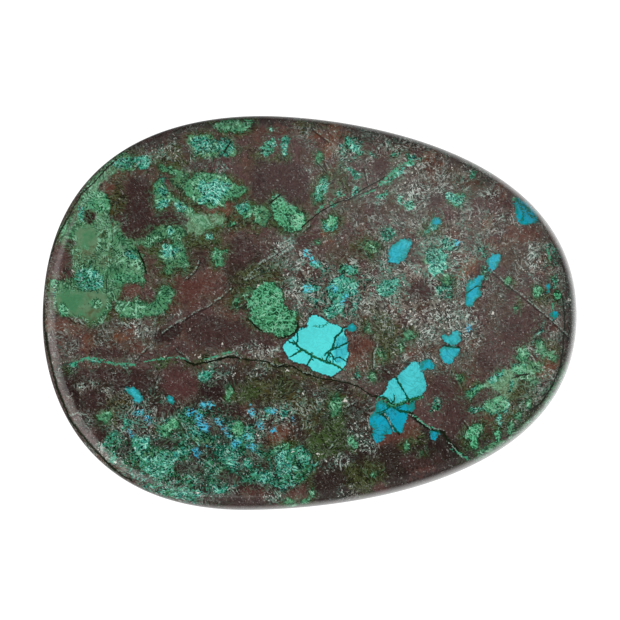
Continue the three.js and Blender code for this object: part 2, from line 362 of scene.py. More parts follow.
# %% Map of the malachite
# tone 0 is dull and greyish, 1 is bright
MALACHITE = [
    # the field along the left edge, and the patches in it
    (0.2, [(104, 166), (112, 160), (124, 157), (137, 160), (140, 168), (110, 176), (100, 182),
           (96, 192), (106, 198), (110, 208), (106, 216), (122, 230), (130, 248), (116, 262), (96, 262),
           (80, 254), (66, 244), (60, 236), (75, 209), (82, 193), (92, 179)]),
    (0.2, [(80, 232), (98, 222), (112, 226), (122, 241), (138, 250), (147, 272), (145, 282), (126, 284),
           (119, 299), (112, 304), (105, 320), (97, 327), (75, 315), (64, 318), (57, 309), (50, 280),
           (70, 277), (76, 268), (70, 240)]),
    (0.0, [(60, 290), (80, 292), (106, 292), (108, 304), (98, 322), (74, 314), (58, 304)]),
    (0.0, [(76, 228), (92, 228), (100, 240), (92, 258), (80, 250)]),
    (0.3, [(118, 247), (128, 245), (138, 251), (147, 272), (140, 274), (124, 270), (116, 258)]),
    (0.6, [(111, 275), (126, 271), (147, 276), (146, 283), (112, 284)]),
    (0.6, [(82, 196), (96, 190), (108, 196), (110, 211), (96, 214), (84, 210)]),
    (0.4, [(112, 155), (124, 153), (136, 158), (134, 168), (122, 168)]),
    (0.3, [(70, 262), (86, 258), (104, 264), (105, 290), (88, 292), (74, 284)]),
    (0.3, [(97, 221), (110, 219), (122, 224), (120, 233), (104, 232)]),
    (0.7, [(60, 304), (65, 302), (70, 312), (67, 318), (60, 314)]),
    (0.5, [(88, 300), (100, 298), (104, 306), (94, 310)]),
    (0.5, [(114, 302), (124, 298), (138, 299), (150, 304), (148, 315), (134, 318), (118, 312)]),
    (0.7, [(51, 278), (60, 277), (60, 287), (52, 288)]),
    # the upper edge and the middle
    (0.6, [(210, 129), (218, 123), (232, 120), (243, 122), (250, 120), (252, 124), (246, 131),
           (234, 134)]),
    (0.5, [(315, 150), (319, 148), (324, 152), (323, 160), (318, 163), (315, 157)]),
    (0.4, [(190, 138), (196, 136), (210, 137), (217, 141), (226, 138), (234, 141), (238, 152),
           (230, 157), (222, 156), (215, 159), (196, 158), (192, 148)]),
    (0.5, [(157, 165), (162, 163), (172, 170), (180, 171), (181, 176), (170, 177), (158, 171)]),
    (0.4, [(170, 178), (180, 175), (187, 184), (184, 195), (171, 186)]),
    (0.4, [(181, 173), (187, 171), (191, 176), (186, 181), (181, 179)]),
    (0.6, [(153, 192), (158, 180), (163, 180), (166, 188), (175, 191), (174, 201), (166, 210),
           (158, 212)]),
    (0.5, [(174, 202), (180, 201), (190, 206), (198, 213), (190, 213), (180, 210)]),
    (0.6, [(184, 184), (190, 176), (195, 172), (200, 175), (204, 170), (212, 172), (218, 176),
           (227, 176), (232, 183), (247, 190), (240, 193), (238, 200), (228, 200), (224, 207),
           (214, 205), (210, 209), (203, 203), (192, 204), (189, 197), (183, 195), (187, 189)]),
    (0.4, [(139, 236), (146, 229), (156, 228), (166, 223), (184, 225), (188, 234), (176, 242),
           (160, 240), (150, 247), (142, 244)]),
    (0.7, [(228, 222), (231, 219), (234, 223), (231, 227)]),
    (0.1, [(183, 220), (194, 212), (204, 215), (218, 213), (226, 218), (220, 226), (208, 236),
           (196, 234), (184, 230)]),
    (0.7, [(235, 208), (242, 201), (251, 203), (255, 209), (250, 218), (239, 214)]),
    (0.5, [(251, 209), (262, 208), (271, 211), (269, 226), (258, 225)]),
    (0.8, [(271, 202), (273, 195), (279, 194), (286, 203), (300, 210), (304, 215), (305, 222),
           (302, 229), (294, 231), (282, 229), (274, 220)]),
    (0.5, [(309, 194), (316, 188), (324, 178), (327, 180), (326, 190), (322, 204), (313, 202)]),
    (0.3, [(142, 240), (149, 235), (155, 240), (150, 247), (144, 246)]),
    (0.5, [(158, 250), (165, 244), (172, 245), (182, 241), (188, 246), (184, 253), (190, 262),
           (184, 272), (174, 268), (168, 276), (162, 270), (166, 262), (160, 258)]),
    (0.6, [(210, 240), (216, 240), (217, 248), (222, 250), (229, 249), (224, 254), (223, 262),
           (219, 266), (215, 262), (212, 256), (214, 250)]),
    (0.5, [(146, 300), (154, 299), (163, 288), (170, 285), (176, 290), (177, 296), (166, 311),
           (158, 316), (148, 318), (140, 311)]),
    (0.8, [(250, 296), (264, 284), (271, 282), (280, 287), (283, 296), (284, 308), (296, 312),
           (297, 322), (296, 331), (283, 336), (270, 333), (257, 328), (250, 321), (247, 311)]),
    (0.6, [(232, 301), (236, 296), (240, 297), (239, 303), (233, 305)]),
    (0.3, [(243, 289), (250, 285), (253, 292), (246, 299)]),
    (0.6, [(313, 241), (318, 238), (321, 243), (317, 247)]),
    (0.4, [(360, 247), (368, 242), (378, 243), (380, 250), (372, 254), (364, 253)]),
    (0.6, [(423, 236), (425, 230), (435, 218), (440, 221), (440, 226), (432, 234)]),
    (0.4, [(426, 262), (428, 255), (432, 250), (438, 252), (442, 263), (438, 270), (436, 260)]),
    (0.5, [(442, 280), (446, 275), (452, 280), (449, 287), (444, 288)]),
    # the right-hand side
    (0.5, [(503, 282), (507, 280), (510, 284), (505, 287)]),
    (0.5, [(512, 305), (516, 302), (519, 308), (514, 312)]),
    (0.7, [(531, 294), (534, 287), (541, 287), (541, 294), (534, 298)]),
    (1.0, [(554, 293), (561, 293), (561, 299), (556, 302)]),
    (0.4, [(361, 327), (366, 323), (371, 325), (371, 330), (367, 333), (363, 331)]),
    (0.3, [(378, 352), (384, 350), (389, 356), (386, 363), (381, 360)]),
    (0.3, [(397, 346), (401, 342), (405, 346), (401, 351)]),
    (0.5, [(369, 375), (374, 371), (376, 376), (371, 381)]),
    (0.6, [(403, 335), (408, 331), (412, 332), (413, 337), (410, 341), (405, 339)]),
    (0.3, [(457, 376), (461, 374), (464, 379), (460, 384)]),
    (0.1, [(480, 385), (504, 369), (513, 370), (515, 381), (511, 402), (504, 399), (498, 390)]),
    (0.8, [(457, 401), (460, 396), (470, 389), (482, 383), (486, 386), (466, 400)]),
    (0.8, [(480, 408), (484, 403), (500, 395), (508, 399), (509, 406), (503, 412), (492, 413),
           (484, 411)]),
    (0.6, [(466, 409), (482, 408), (482, 411), (470, 412)]),
    (0.6, [(516, 354), (519, 346), (527, 346), (528, 355), (524, 364), (518, 361)]),
    (0.6, [(530, 344), (534, 338), (543, 337), (546, 346), (543, 356), (537, 355)]),
    (0.5, [(545, 354), (552, 351), (559, 356), (557, 364), (549, 364)]),
    (0.3, [(520, 360), (530, 362), (540, 360), (548, 363), (546, 368), (530, 372), (522, 370)]),
    (0.9, [(511, 366), (517, 364), (526, 365), (525, 372), (518, 376), (512, 372)]),
    (0.4, [(519, 378), (524, 373), (531, 376), (537, 382), (536, 388)]),
    (0.5, [(525, 400), (528, 396), (531, 402), (529, 409), (526, 407)]),
    (0.7, [(549, 390), (555, 382), (562, 377), (560, 390), (553, 402), (545, 410)]),
    (0.9, [(465, 428), (469, 424), (474, 422), (480, 425), (480, 431), (477, 437), (480, 441),
           (479, 447), (474, 450), (469, 448), (468, 442), (464, 437)]),
    (0.6, [(480, 422), (485, 424), (482, 432), (478, 430)]),
    (0.9, [(494, 428), (499, 423), (503, 427), (499, 440), (495, 437)]),
    (0.7, [(505, 431), (508, 424), (512, 420), (513, 426), (508, 435)]),
    (0.6, [(514, 417), (518, 412), (521, 416), (518, 421)]),
    (0.8, [(528, 417), (531, 413), (535, 413), (532, 418)]),
    (0.6, [(474, 452), (484, 446), (494, 444), (502, 440), (498, 450), (486, 457), (476, 459)]),
    # the lower left
    (0.5, [(100, 418), (104, 413), (109, 411), (113, 415), (110, 420), (104, 421)]),
    (0.8, [(163, 424), (174, 416), (178, 418), (184, 429), (174, 431), (166, 438), (163, 438),
           (162, 430)]),
    (0.7, [(178, 446), (182, 443), (187, 442), (190, 452), (187, 457), (181, 456)]),
    (0.3, [(153, 450), (159, 447), (166, 449), (163, 455), (156, 457)]),
    (0.3, [(190, 436), (199, 430), (210, 433), (217, 441), (206, 446), (194, 445)]),
    (0.6, [(215, 470), (219, 466), (224, 464), (228, 468), (225, 474), (217, 476)]),
    (0.8, [(232, 430), (236, 422), (241, 424), (243, 433), (236, 436)]),
    (0.6, [(227, 390), (230, 387), (233, 391), (229, 396), (232, 400), (230, 404), (226, 400)]),
    # the lower edge
    (0.7, [(268, 451), (273, 446), (284, 443), (290, 445), (288, 450), (270, 454)]),
    (0.7, [(368, 474), (372, 468), (377, 472), (371, 480)]),
    (0.7, [(308, 490), (313, 488), (314, 493), (310, 495)]),
    (0.6, [(303, 499), (309, 497), (308, 502), (304, 503)]),
    (0.6, [(404, 445), (407, 440), (410, 446), (406, 450)]),
    (0.6, [(420, 451), (423, 449), (424, 453), (421, 454)]),
    (0.3, [(296, 466), (306, 462), (309, 472), (302, 478), (295, 474)]),
    (0.5, [(283, 500), (291, 498), (293, 505), (285, 505)]),
    # laid over the others
    (0.4, [(562, 372), (567, 358), (568, 372), (560, 392), (548, 410), (530, 428), (494, 454),
           (478, 462), (474, 458), (508, 437), (526, 421), (542, 403)]),
    (0.5, [(134, 449), (145, 448), (158, 449), (160, 455), (148, 462), (138, 459)]),
    (0.35, [(107, 219), (120, 221), (122, 233), (133, 238), (141, 248), (148, 271), (136, 275),
           (120, 262), (110, 240)]),
    (0.5, [(328, 399), (333, 393), (339, 395), (341, 404), (338, 414), (331, 414)]),
    (0.8, [(349, 441), (352, 436), (357, 438), (356, 445), (351, 446)]),
    (0.9, [(326, 222), (331, 217), (338, 219), (336, 227), (329, 230)]),
    (0.5, [(448, 198), (455, 194), (465, 196), (464, 203), (453, 205)]),
]
print("Patches of malachite:", len(MALACHITE))

# %% Map of the green grains
# malachite and chrysocolla mixed as fine grains; tone 0 is sparse and dark, 1 is dense and bright teal
GREEN_GRAINS = [
    # sparse ones over wide stretches, which the denser ones below lie in
    (0.3, [(106, 442), (142, 438), (160, 428), (166, 412), (212, 400), (226, 414), (240, 419),
           (256, 428), (262, 434), (256, 440), (262, 447), (290, 447), (312, 444), (318, 466),
           (302, 482), (272, 485), (240, 484), (214, 498), (180, 503), (150, 491), (128, 472),
           (112, 462)]),
    (0.1, [(318, 262), (352, 262), (370, 280), (364, 300), (350, 318), (322, 318), (308, 300)]),
    (0.1, [(340, 138), (360, 144), (362, 158), (348, 168), (340, 166)]),
    # the upper left
    (0.9, [(76, 207), (85, 207), (86, 217), (80, 222)]),
    (0.9, [(134, 160), (142, 155), (150, 157), (148, 168), (138, 169)]),
    (0.6, [(192, 139), (197, 136), (208, 137), (216, 141), (214, 156), (198, 157)]),
    (0.7, [(217, 145), (224, 139), (234, 141), (237, 151), (229, 157), (220, 153)]),
    (0.7, [(114, 162), (126, 158), (134, 162), (130, 170), (118, 169)]),
    (0.9, [(158, 190), (163, 187), (169, 190), (167, 196), (160, 195)]),
    (0.9, [(158, 206), (161, 199), (167, 197), (171, 201), (164, 208)]),
    (0.8, [(174, 202), (180, 201), (198, 213), (188, 213), (178, 209)]),
    (0.5, [(159, 181), (164, 178), (168, 184), (162, 187)]),
    (1.0, [(197, 187), (203, 180), (209, 182), (216, 177), (222, 184), (231, 183), (233, 190),
           (227, 196), (221, 198), (217, 206), (208, 201), (199, 203), (202, 195)]),
    (0.8, [(262, 154), (264, 143), (270, 135), (277, 136), (278, 144), (270, 157)]),
    (0.9, [(277, 136), (281, 135), (280, 143), (277, 143)]),
    (0.7, [(280, 138), (287, 136), (290, 146), (287, 157), (281, 155), (279, 147)]),
    (0.8, [(270, 131), (273, 129), (276, 132), (273, 135)]),
    (1.0, [(279, 215), (290, 216), (290, 225), (281, 224)]),
    (0.9, [(166, 228), (172, 226), (174, 233), (168, 235)]),
    (1.0, [(162, 251), (164, 246), (170, 245), (175, 250), (171, 258), (164, 257)]),
    (1.0, [(202, 237), (209, 233), (216, 236), (214, 240), (205, 241)]),
    (0.9, [(126, 254), (132, 253), (136, 258), (130, 260)]),
    (0.7, [(76, 274), (88, 268), (100, 271), (107, 282), (99, 291), (84, 289)]),
    (0.6, [(52, 290), (58, 288), (60, 295), (54, 297)]),
    # the middle
    (0.9, [(376, 288), (386, 279), (396, 277), (399, 286), (390, 297), (380, 299)]),
    (1.0, [(424, 258), (438, 250), (448, 256), (444, 270), (430, 276)]),
    (0.8, [(344, 139), (352, 141), (359, 147), (364, 154), (360, 158), (347, 147)]),
    (0.8, [(346, 168), (356, 170), (360, 175), (357, 178), (350, 174)]),
    (0.8, [(369, 153), (373, 152), (373, 158), (369, 158)]),
    (0.9, [(324, 177), (328, 180), (327, 188), (319, 204), (315, 202), (316, 192)]),
    (0.7, [(328, 202), (334, 200), (334, 207), (329, 207)]),
    (0.9, [(325, 230), (326, 224), (331, 219), (336, 217), (339, 225), (334, 231), (328, 232)]),
    (0.9, [(376, 200), (379, 194), (388, 188), (388, 194), (383, 199)]),
    (0.9, [(380, 187), (400, 167), (416, 162), (407, 168), (388, 186)]),
    (0.8, [(395, 200), (400, 200), (405, 204), (414, 206), (411, 210), (402, 208)]),
    (0.4, [(406, 156), (412, 153), (419, 158), (412, 163)]),
    (0.3, [(389, 153), (396, 151), (401, 156), (393, 160)]),
    (0.9, [(447, 196), (452, 192), (458, 194), (464, 193), (465, 202), (459, 206), (450, 204)]),
    (0.7, [(470, 171), (474, 169), (478, 173), (475, 178), (470, 177)]),
    (0.8, [(420, 238), (431, 223), (436, 220), (438, 226), (430, 234)]),
    (0.8, [(432, 222), (434, 217), (439, 218), (440, 223)]),
    (0.5, [(380, 232), (390, 229), (398, 234), (392, 242), (382, 240)]),
    (0.8, [(308, 261), (318, 260), (323, 266), (314, 272)]),
    (0.9, [(341, 267), (350, 265), (357, 268), (357, 275), (350, 276)]),
    (0.9, [(325, 288), (332, 280), (342, 274), (348, 279), (357, 281), (358, 288), (355, 296),
           (345, 298), (342, 304), (332, 304)]),
    (0.8, [(323, 312), (330, 305), (338, 302), (346, 305), (336, 319), (327, 318)]),
    (0.7, [(298, 287), (310, 284), (320, 286), (319, 292), (304, 293)]),
    (0.6, [(436, 286), (443, 283), (452, 288), (450, 298), (440, 300), (435, 294)]),
    (1.0, [(271, 290), (277, 287), (282, 290), (282, 299), (275, 300)]),
    # the right-hand side
    (0.5, [(480, 270), (485, 266), (489, 272), (486, 284), (480, 283)]),
    (0.4, [(480, 250), (485, 246), (488, 252), (484, 262)]),
    (0.5, [(550, 279), (554, 275), (557, 281), (555, 290), (550, 290)]),
    (0.3, [(545, 246), (552, 244), (556, 262), (551, 268)]),
    (0.4, [(540, 324), (545, 318), (544, 330), (534, 344), (530, 342)]),
    (1.0, [(511, 366), (521, 363), (527, 366), (524, 372), (519, 375), (513, 371)]),
    (0.9, [(488, 381), (506, 368), (503, 375), (494, 382)]),
    (0.9, [(508, 384), (513, 380), (512, 390), (508, 396)]),
    (0.7, [(458, 400), (461, 396), (470, 390), (480, 386), (481, 389), (464, 400)]),
    (0.7, [(480, 408), (497, 396), (503, 396), (508, 404), (506, 409), (498, 412), (488, 412)]),
    (1.0, [(500, 397), (505, 398), (509, 404), (506, 410), (497, 413), (490, 412), (499, 408),
           (503, 403)]),
    (0.5, [(467, 410), (480, 408), (482, 411), (468, 412)]),
    (1.0, [(496, 416), (500, 413), (502, 418), (500, 424), (496, 422)]),
    (0.4, [(432, 404), (435, 398), (441, 396), (441, 402), (438, 410), (433, 412)]),
    (0.6, [(354, 372), (357, 369), (359, 373), (356, 379)]),
    # the lower left
    (0.8, [(70, 365), (76, 361), (81, 363), (77, 367)]),
    (0.8, [(88, 361), (100, 359), (102, 363), (92, 364)]),
    (0.8, [(119, 364), (127, 362), (129, 366), (122, 368)]),
    (0.9, [(199, 374), (210, 366), (214, 370), (212, 378), (207, 383), (201, 381)]),
    (1.0, [(131, 441), (136, 437), (143, 439), (149, 436), (151, 444), (146, 449), (139, 450),
           (133, 447)]),
    (0.6, [(154, 397), (158, 396), (166, 402), (162, 406), (156, 402)]),
    (0.7, [(120, 425), (126, 419), (133, 420), (131, 427), (122, 433)]),
    (0.7, [(104, 440), (110, 435), (119, 432), (112, 446), (106, 446)]),
    (0.9, [(110, 454), (116, 452), (119, 460), (113, 464)]),
    (0.8, [(138, 462), (147, 456), (156, 457), (163, 449), (172, 452), (180, 449), (181, 457),
           (174, 463), (176, 471), (165, 474), (160, 480), (143, 470)]),
    (0.5, [(146, 482), (155, 477), (164, 480), (163, 486), (153, 488)]),
    (0.6, [(164, 490), (176, 485), (190, 487), (203, 491), (199, 500), (180, 499), (168, 496)]),
    (0.3, [(166, 481), (180, 476), (203, 477), (200, 486), (172, 487)]),
    (1.0, [(213, 490), (228, 485), (227, 490), (219, 494)]),
    (0.5, [(207, 446), (222, 440), (240, 446), (246, 462), (240, 475), (226, 470), (219, 458)]),
    (0.9, [(201, 460), (207, 458), (214, 466), (208, 467)]),
    (0.9, [(226, 458), (234, 455), (237, 463), (229, 467)]),
    (0.9, [(242, 461), (250, 456), (254, 463), (248, 469)]),
    (0.8, [(241, 482), (251, 475), (258, 480), (270, 480), (279, 484), (272, 486), (250, 485)]),
    (0.6, [(250, 470), (258, 466), (268, 470), (276, 478), (262, 481), (252, 478)]),
    (0.7, [(273, 455), (292, 448), (300, 450), (290, 466), (292, 474), (280, 479), (275, 470),
           (278, 462)]),
    (0.8, [(290, 450), (299, 446), (312, 453), (310, 461), (304, 466)]),
    (0.5, [(280, 478), (290, 474), (296, 482), (288, 490), (280, 488)]),
    (0.8, [(262, 408), (270, 405), (276, 411), (270, 415), (264, 413)]),
    (0.6, [(280, 413), (287, 411), (287, 418), (281, 419)]),
    (0.5, [(238, 422), (248, 421), (256, 432), (254, 443), (242, 447), (234, 440)]),
    # laid over the others
    (0.8, [(236, 208), (243, 202), (250, 204), (252, 210), (245, 215), (239, 212)]),
    (1.0, [(272, 202), (274, 196), (279, 195), (286, 203), (288, 209), (278, 208)]),
    (0.7, [(166, 252), (176, 248), (180, 252), (172, 258)]),
    (0.6, [(443, 243), (449, 238), (457, 237), (461, 242), (457, 249), (448, 251)]),
    (0.5, [(424, 254), (430, 247), (438, 252), (441, 262), (436, 270), (428, 264)]),
    (0.9, [(351, 194), (355, 188), (361, 188), (359, 194), (354, 197)]),
    (0.9, [(333, 196), (338, 190), (344, 190), (340, 196)]),
    (0.9, [(311, 216), (318, 210), (323, 210), (317, 215)]),
]
print("Patches of green grains:", len(GREEN_GRAINS))

# %% Map of the moss-coloured rock
# rock stained by copper; tone 0 is olive brown, 1 is dark green
STAINED_ROCK = [
    (0.2, [(96, 184), (112, 180), (126, 190), (127, 210), (116, 222), (104, 214), (98, 204)]),
    (0.4, [(238, 151), (255, 148), (263, 156), (290, 152), (288, 163), (250, 165)]),
    (0.2, [(290, 122), (326, 122), (346, 130), (336, 134), (300, 130)]),
    (0.3, [(325, 170), (340, 166), (350, 176), (349, 190), (332, 188), (324, 180)]),
    (0.4, [(173, 265), (190, 263), (197, 270), (188, 278), (176, 275)]),
    (0.3, [(156, 227), (176, 222), (208, 241), (203, 249), (190, 254), (182, 262)]),
    (0.3, [(206, 209), (221, 206), (240, 212), (254, 222), (260, 229), (250, 231)]),
    (0.2, [(261, 260), (284, 257), (286, 272), (276, 281), (262, 279)]),
    (0.4, [(240, 284), (252, 280), (262, 284), (252, 296), (245, 312), (236, 308), (232, 296)]),
    (0.3, [(350, 246), (358, 238), (370, 234), (378, 240), (380, 250), (378, 262), (372, 266),
           (364, 258), (352, 254)]),
    (0.3, [(338, 213), (345, 213), (345, 225), (339, 229)]),
    (0.1, [(154, 317), (166, 315), (167, 325), (156, 325)]),
    (0.2, [(242, 312), (260, 331), (252, 332), (242, 324)]),
    (0.1, [(105, 400), (114, 394), (128, 394), (131, 404), (122, 416), (108, 414)]),
    (0.9, [(96, 416), (102, 409), (114, 410), (115, 422), (102, 430)]),
    (0.1, [(262, 374), (285, 370), (299, 378), (294, 394), (272, 401), (259, 390)]),
    (0.2, [(236, 384), (262, 376), (296, 384), (312, 400), (330, 404), (326, 424), (306, 440),
           (296, 410), (262, 402), (240, 404)]),
    (0.9, [(186, 360), (232, 352), (228, 360), (206, 366), (190, 367)]),
    (0.4, [(232, 354), (300, 366), (366, 392), (360, 400), (340, 392), (234, 362)]),
    (0.7, [(238, 390), (250, 384), (262, 388), (258, 400), (248, 405), (236, 402)]),
    (0.8, [(277, 378), (284, 376), (286, 392), (278, 396)]),
    (0.9, [(326, 397), (338, 393), (346, 402), (344, 414), (330, 412)]),
    (0.8, [(306, 442), (316, 424), (332, 410), (346, 414), (350, 430), (342, 454), (322, 460),
           (306, 456)]),
    (0.5, [(372, 300), (384, 314), (402, 322), (404, 348), (392, 360), (378, 356), (372, 330)]),
    (0.4, [(344, 470), (360, 456), (380, 462), (382, 486), (360, 494), (346, 488)]),
    (0.6, [(404, 432), (420, 428), (426, 440), (412, 450), (402, 444)]),
    (0.5, [(528, 286), (536, 284), (548, 290), (548, 306), (534, 308)]),
    (0.6, [(455, 452), (468, 450), (475, 455), (462, 461)]),
    (0.9, [(61, 364), (67, 361), (72, 366), (70, 373), (63, 373)]),
    (0.7, [(180, 426), (192, 421), (197, 432), (190, 442), (180, 438)]),
    (0.9, [(150, 358), (165, 356), (176, 361), (166, 366), (152, 364)]),
    (1.0, [(132, 450), (150, 449), (150, 457), (138, 461), (131, 468)]),
    (0.5, [(202, 455), (212, 456), (214, 465), (203, 464)]),
    (0.6, [(254, 452), (272, 448), (274, 468), (258, 470)]),
    (0.4, [(490, 370), (520, 374), (540, 384), (528, 404), (508, 420), (496, 444), (484, 440),
           (488, 420), (510, 404)]),
    (0.8, [(248, 203), (268, 200), (290, 200), (308, 212), (308, 230), (290, 236), (268, 231),
           (252, 221)]),
    (0.6, [(140, 230), (160, 225), (182, 213), (200, 206), (226, 210), (222, 228), (212, 250),
           (196, 270), (176, 282), (158, 272), (152, 252), (138, 248)]),
    (0.5, [(160, 160), (190, 160), (186, 172), (192, 190), (190, 208), (174, 204)]),
    (0.2, [(104, 184), (124, 182), (134, 202), (126, 218), (110, 214)]),
    (0.3, [(136, 160), (160, 150), (182, 146), (190, 156), (148, 172)]),
    (0.3, [(222, 206), (240, 200), (262, 218), (270, 230), (256, 236), (234, 226)]),
    (0.4, [(236, 284), (244, 266), (262, 262), (284, 270), (290, 284), (270, 282), (252, 290),
           (238, 300)]),
]
print("Patches of stained rock:", len(STAINED_ROCK))

# %% Map of the rust
# tone 0 is purple red, 1 is orange
RUST = [
    (0.4, [(99, 184), (106, 181), (114, 184), (112, 193), (102, 194)]),
    (0.4, [(115, 172), (120, 169), (124, 173), (120, 178), (115, 177)]),
    (0.7, [(206, 209), (218, 206), (229, 208), (228, 216), (214, 216)]),
    (0.9, [(320, 125), (334, 124), (345, 126), (344, 131), (326, 131)]),
    (0.7, [(314, 131), (330, 132), (341, 137), (326, 165), (322, 150)]),
    (0.8, [(425, 156), (434, 154), (435, 160), (427, 161)]),
    (0.7, [(437, 159), (444, 158), (446, 165), (438, 166)]),
    (0.7, [(495, 184), (505, 184), (504, 196), (496, 194)]),
    (0.4, [(508, 226), (524, 230), (538, 226), (541, 238), (524, 244), (508, 240)]),
    (0.7, [(499, 239), (508, 238), (507, 247), (500, 246)]),
    (0.9, [(459, 272), (466, 262), (475, 262), (473, 273), (462, 280)]),
    (0.7, [(484, 222), (492, 222), (492, 228), (485, 228)]),
    (0.3, [(172, 280), (190, 278), (206, 271), (220, 271), (221, 281), (213, 294), (196, 302),
           (176, 302)]),
    (0.5, [(170, 296), (178, 295), (178, 308), (170, 308)]),
    (0.4, [(121, 290), (128, 283), (141, 279), (148, 279), (146, 289), (139, 299), (130, 302)]),
    (0.9, [(119, 328), (126, 324), (129, 334), (127, 343), (120, 342)]),
    (0.6, [(127, 326), (134, 326), (134, 336), (129, 337)]),
    (0.6, [(82, 334), (92, 333), (94, 350), (84, 352)]),
    (0.5, [(46, 322), (66, 320), (90, 330), (80, 336), (60, 332), (48, 332)]),
    (0.3, [(135, 341), (143, 340), (143, 350), (135, 349)]),
    (0.1, [(159, 376), (168, 369), (186, 370), (197, 378), (196, 392), (190, 402), (184, 404),
           (176, 396), (162, 392)]),
    (0.5, [(352, 346), (362, 336), (373, 337), (374, 347), (362, 356), (357, 367), (346, 368)]),
    (0.6, [(267, 434), (281, 424), (288, 422), (297, 424), (296, 433), (288, 441), (271, 447)]),
    (0.3, [(240, 406), (248, 403), (252, 410), (248, 420), (241, 418)]),
    (0.2, [(238, 489), (256, 486), (269, 489), (262, 496), (246, 497)]),
    (0.3, [(291, 487), (310, 485), (310, 501), (292, 502)]),
    (0.4, [(378, 438), (398, 433), (414, 420), (420, 428), (404, 440), (380, 446)]),
    (0.8, [(320, 233), (326, 233), (330, 242), (326, 249), (321, 241)]),
    (0.4, [(405, 346), (424, 344), (425, 354), (407, 356)]),
    (0.4, [(467, 339), (474, 338), (475, 347), (467, 347)]),
    (0.2, [(376, 482), (384, 480), (385, 488), (378, 490)]),
    (0.8, [(532, 362), (545, 360), (556, 350), (556, 366), (546, 382), (534, 372)]),
    (0.2, [(412, 472), (440, 464), (430, 474), (412, 478)]),
]
print("Patches of rust:", len(RUST))

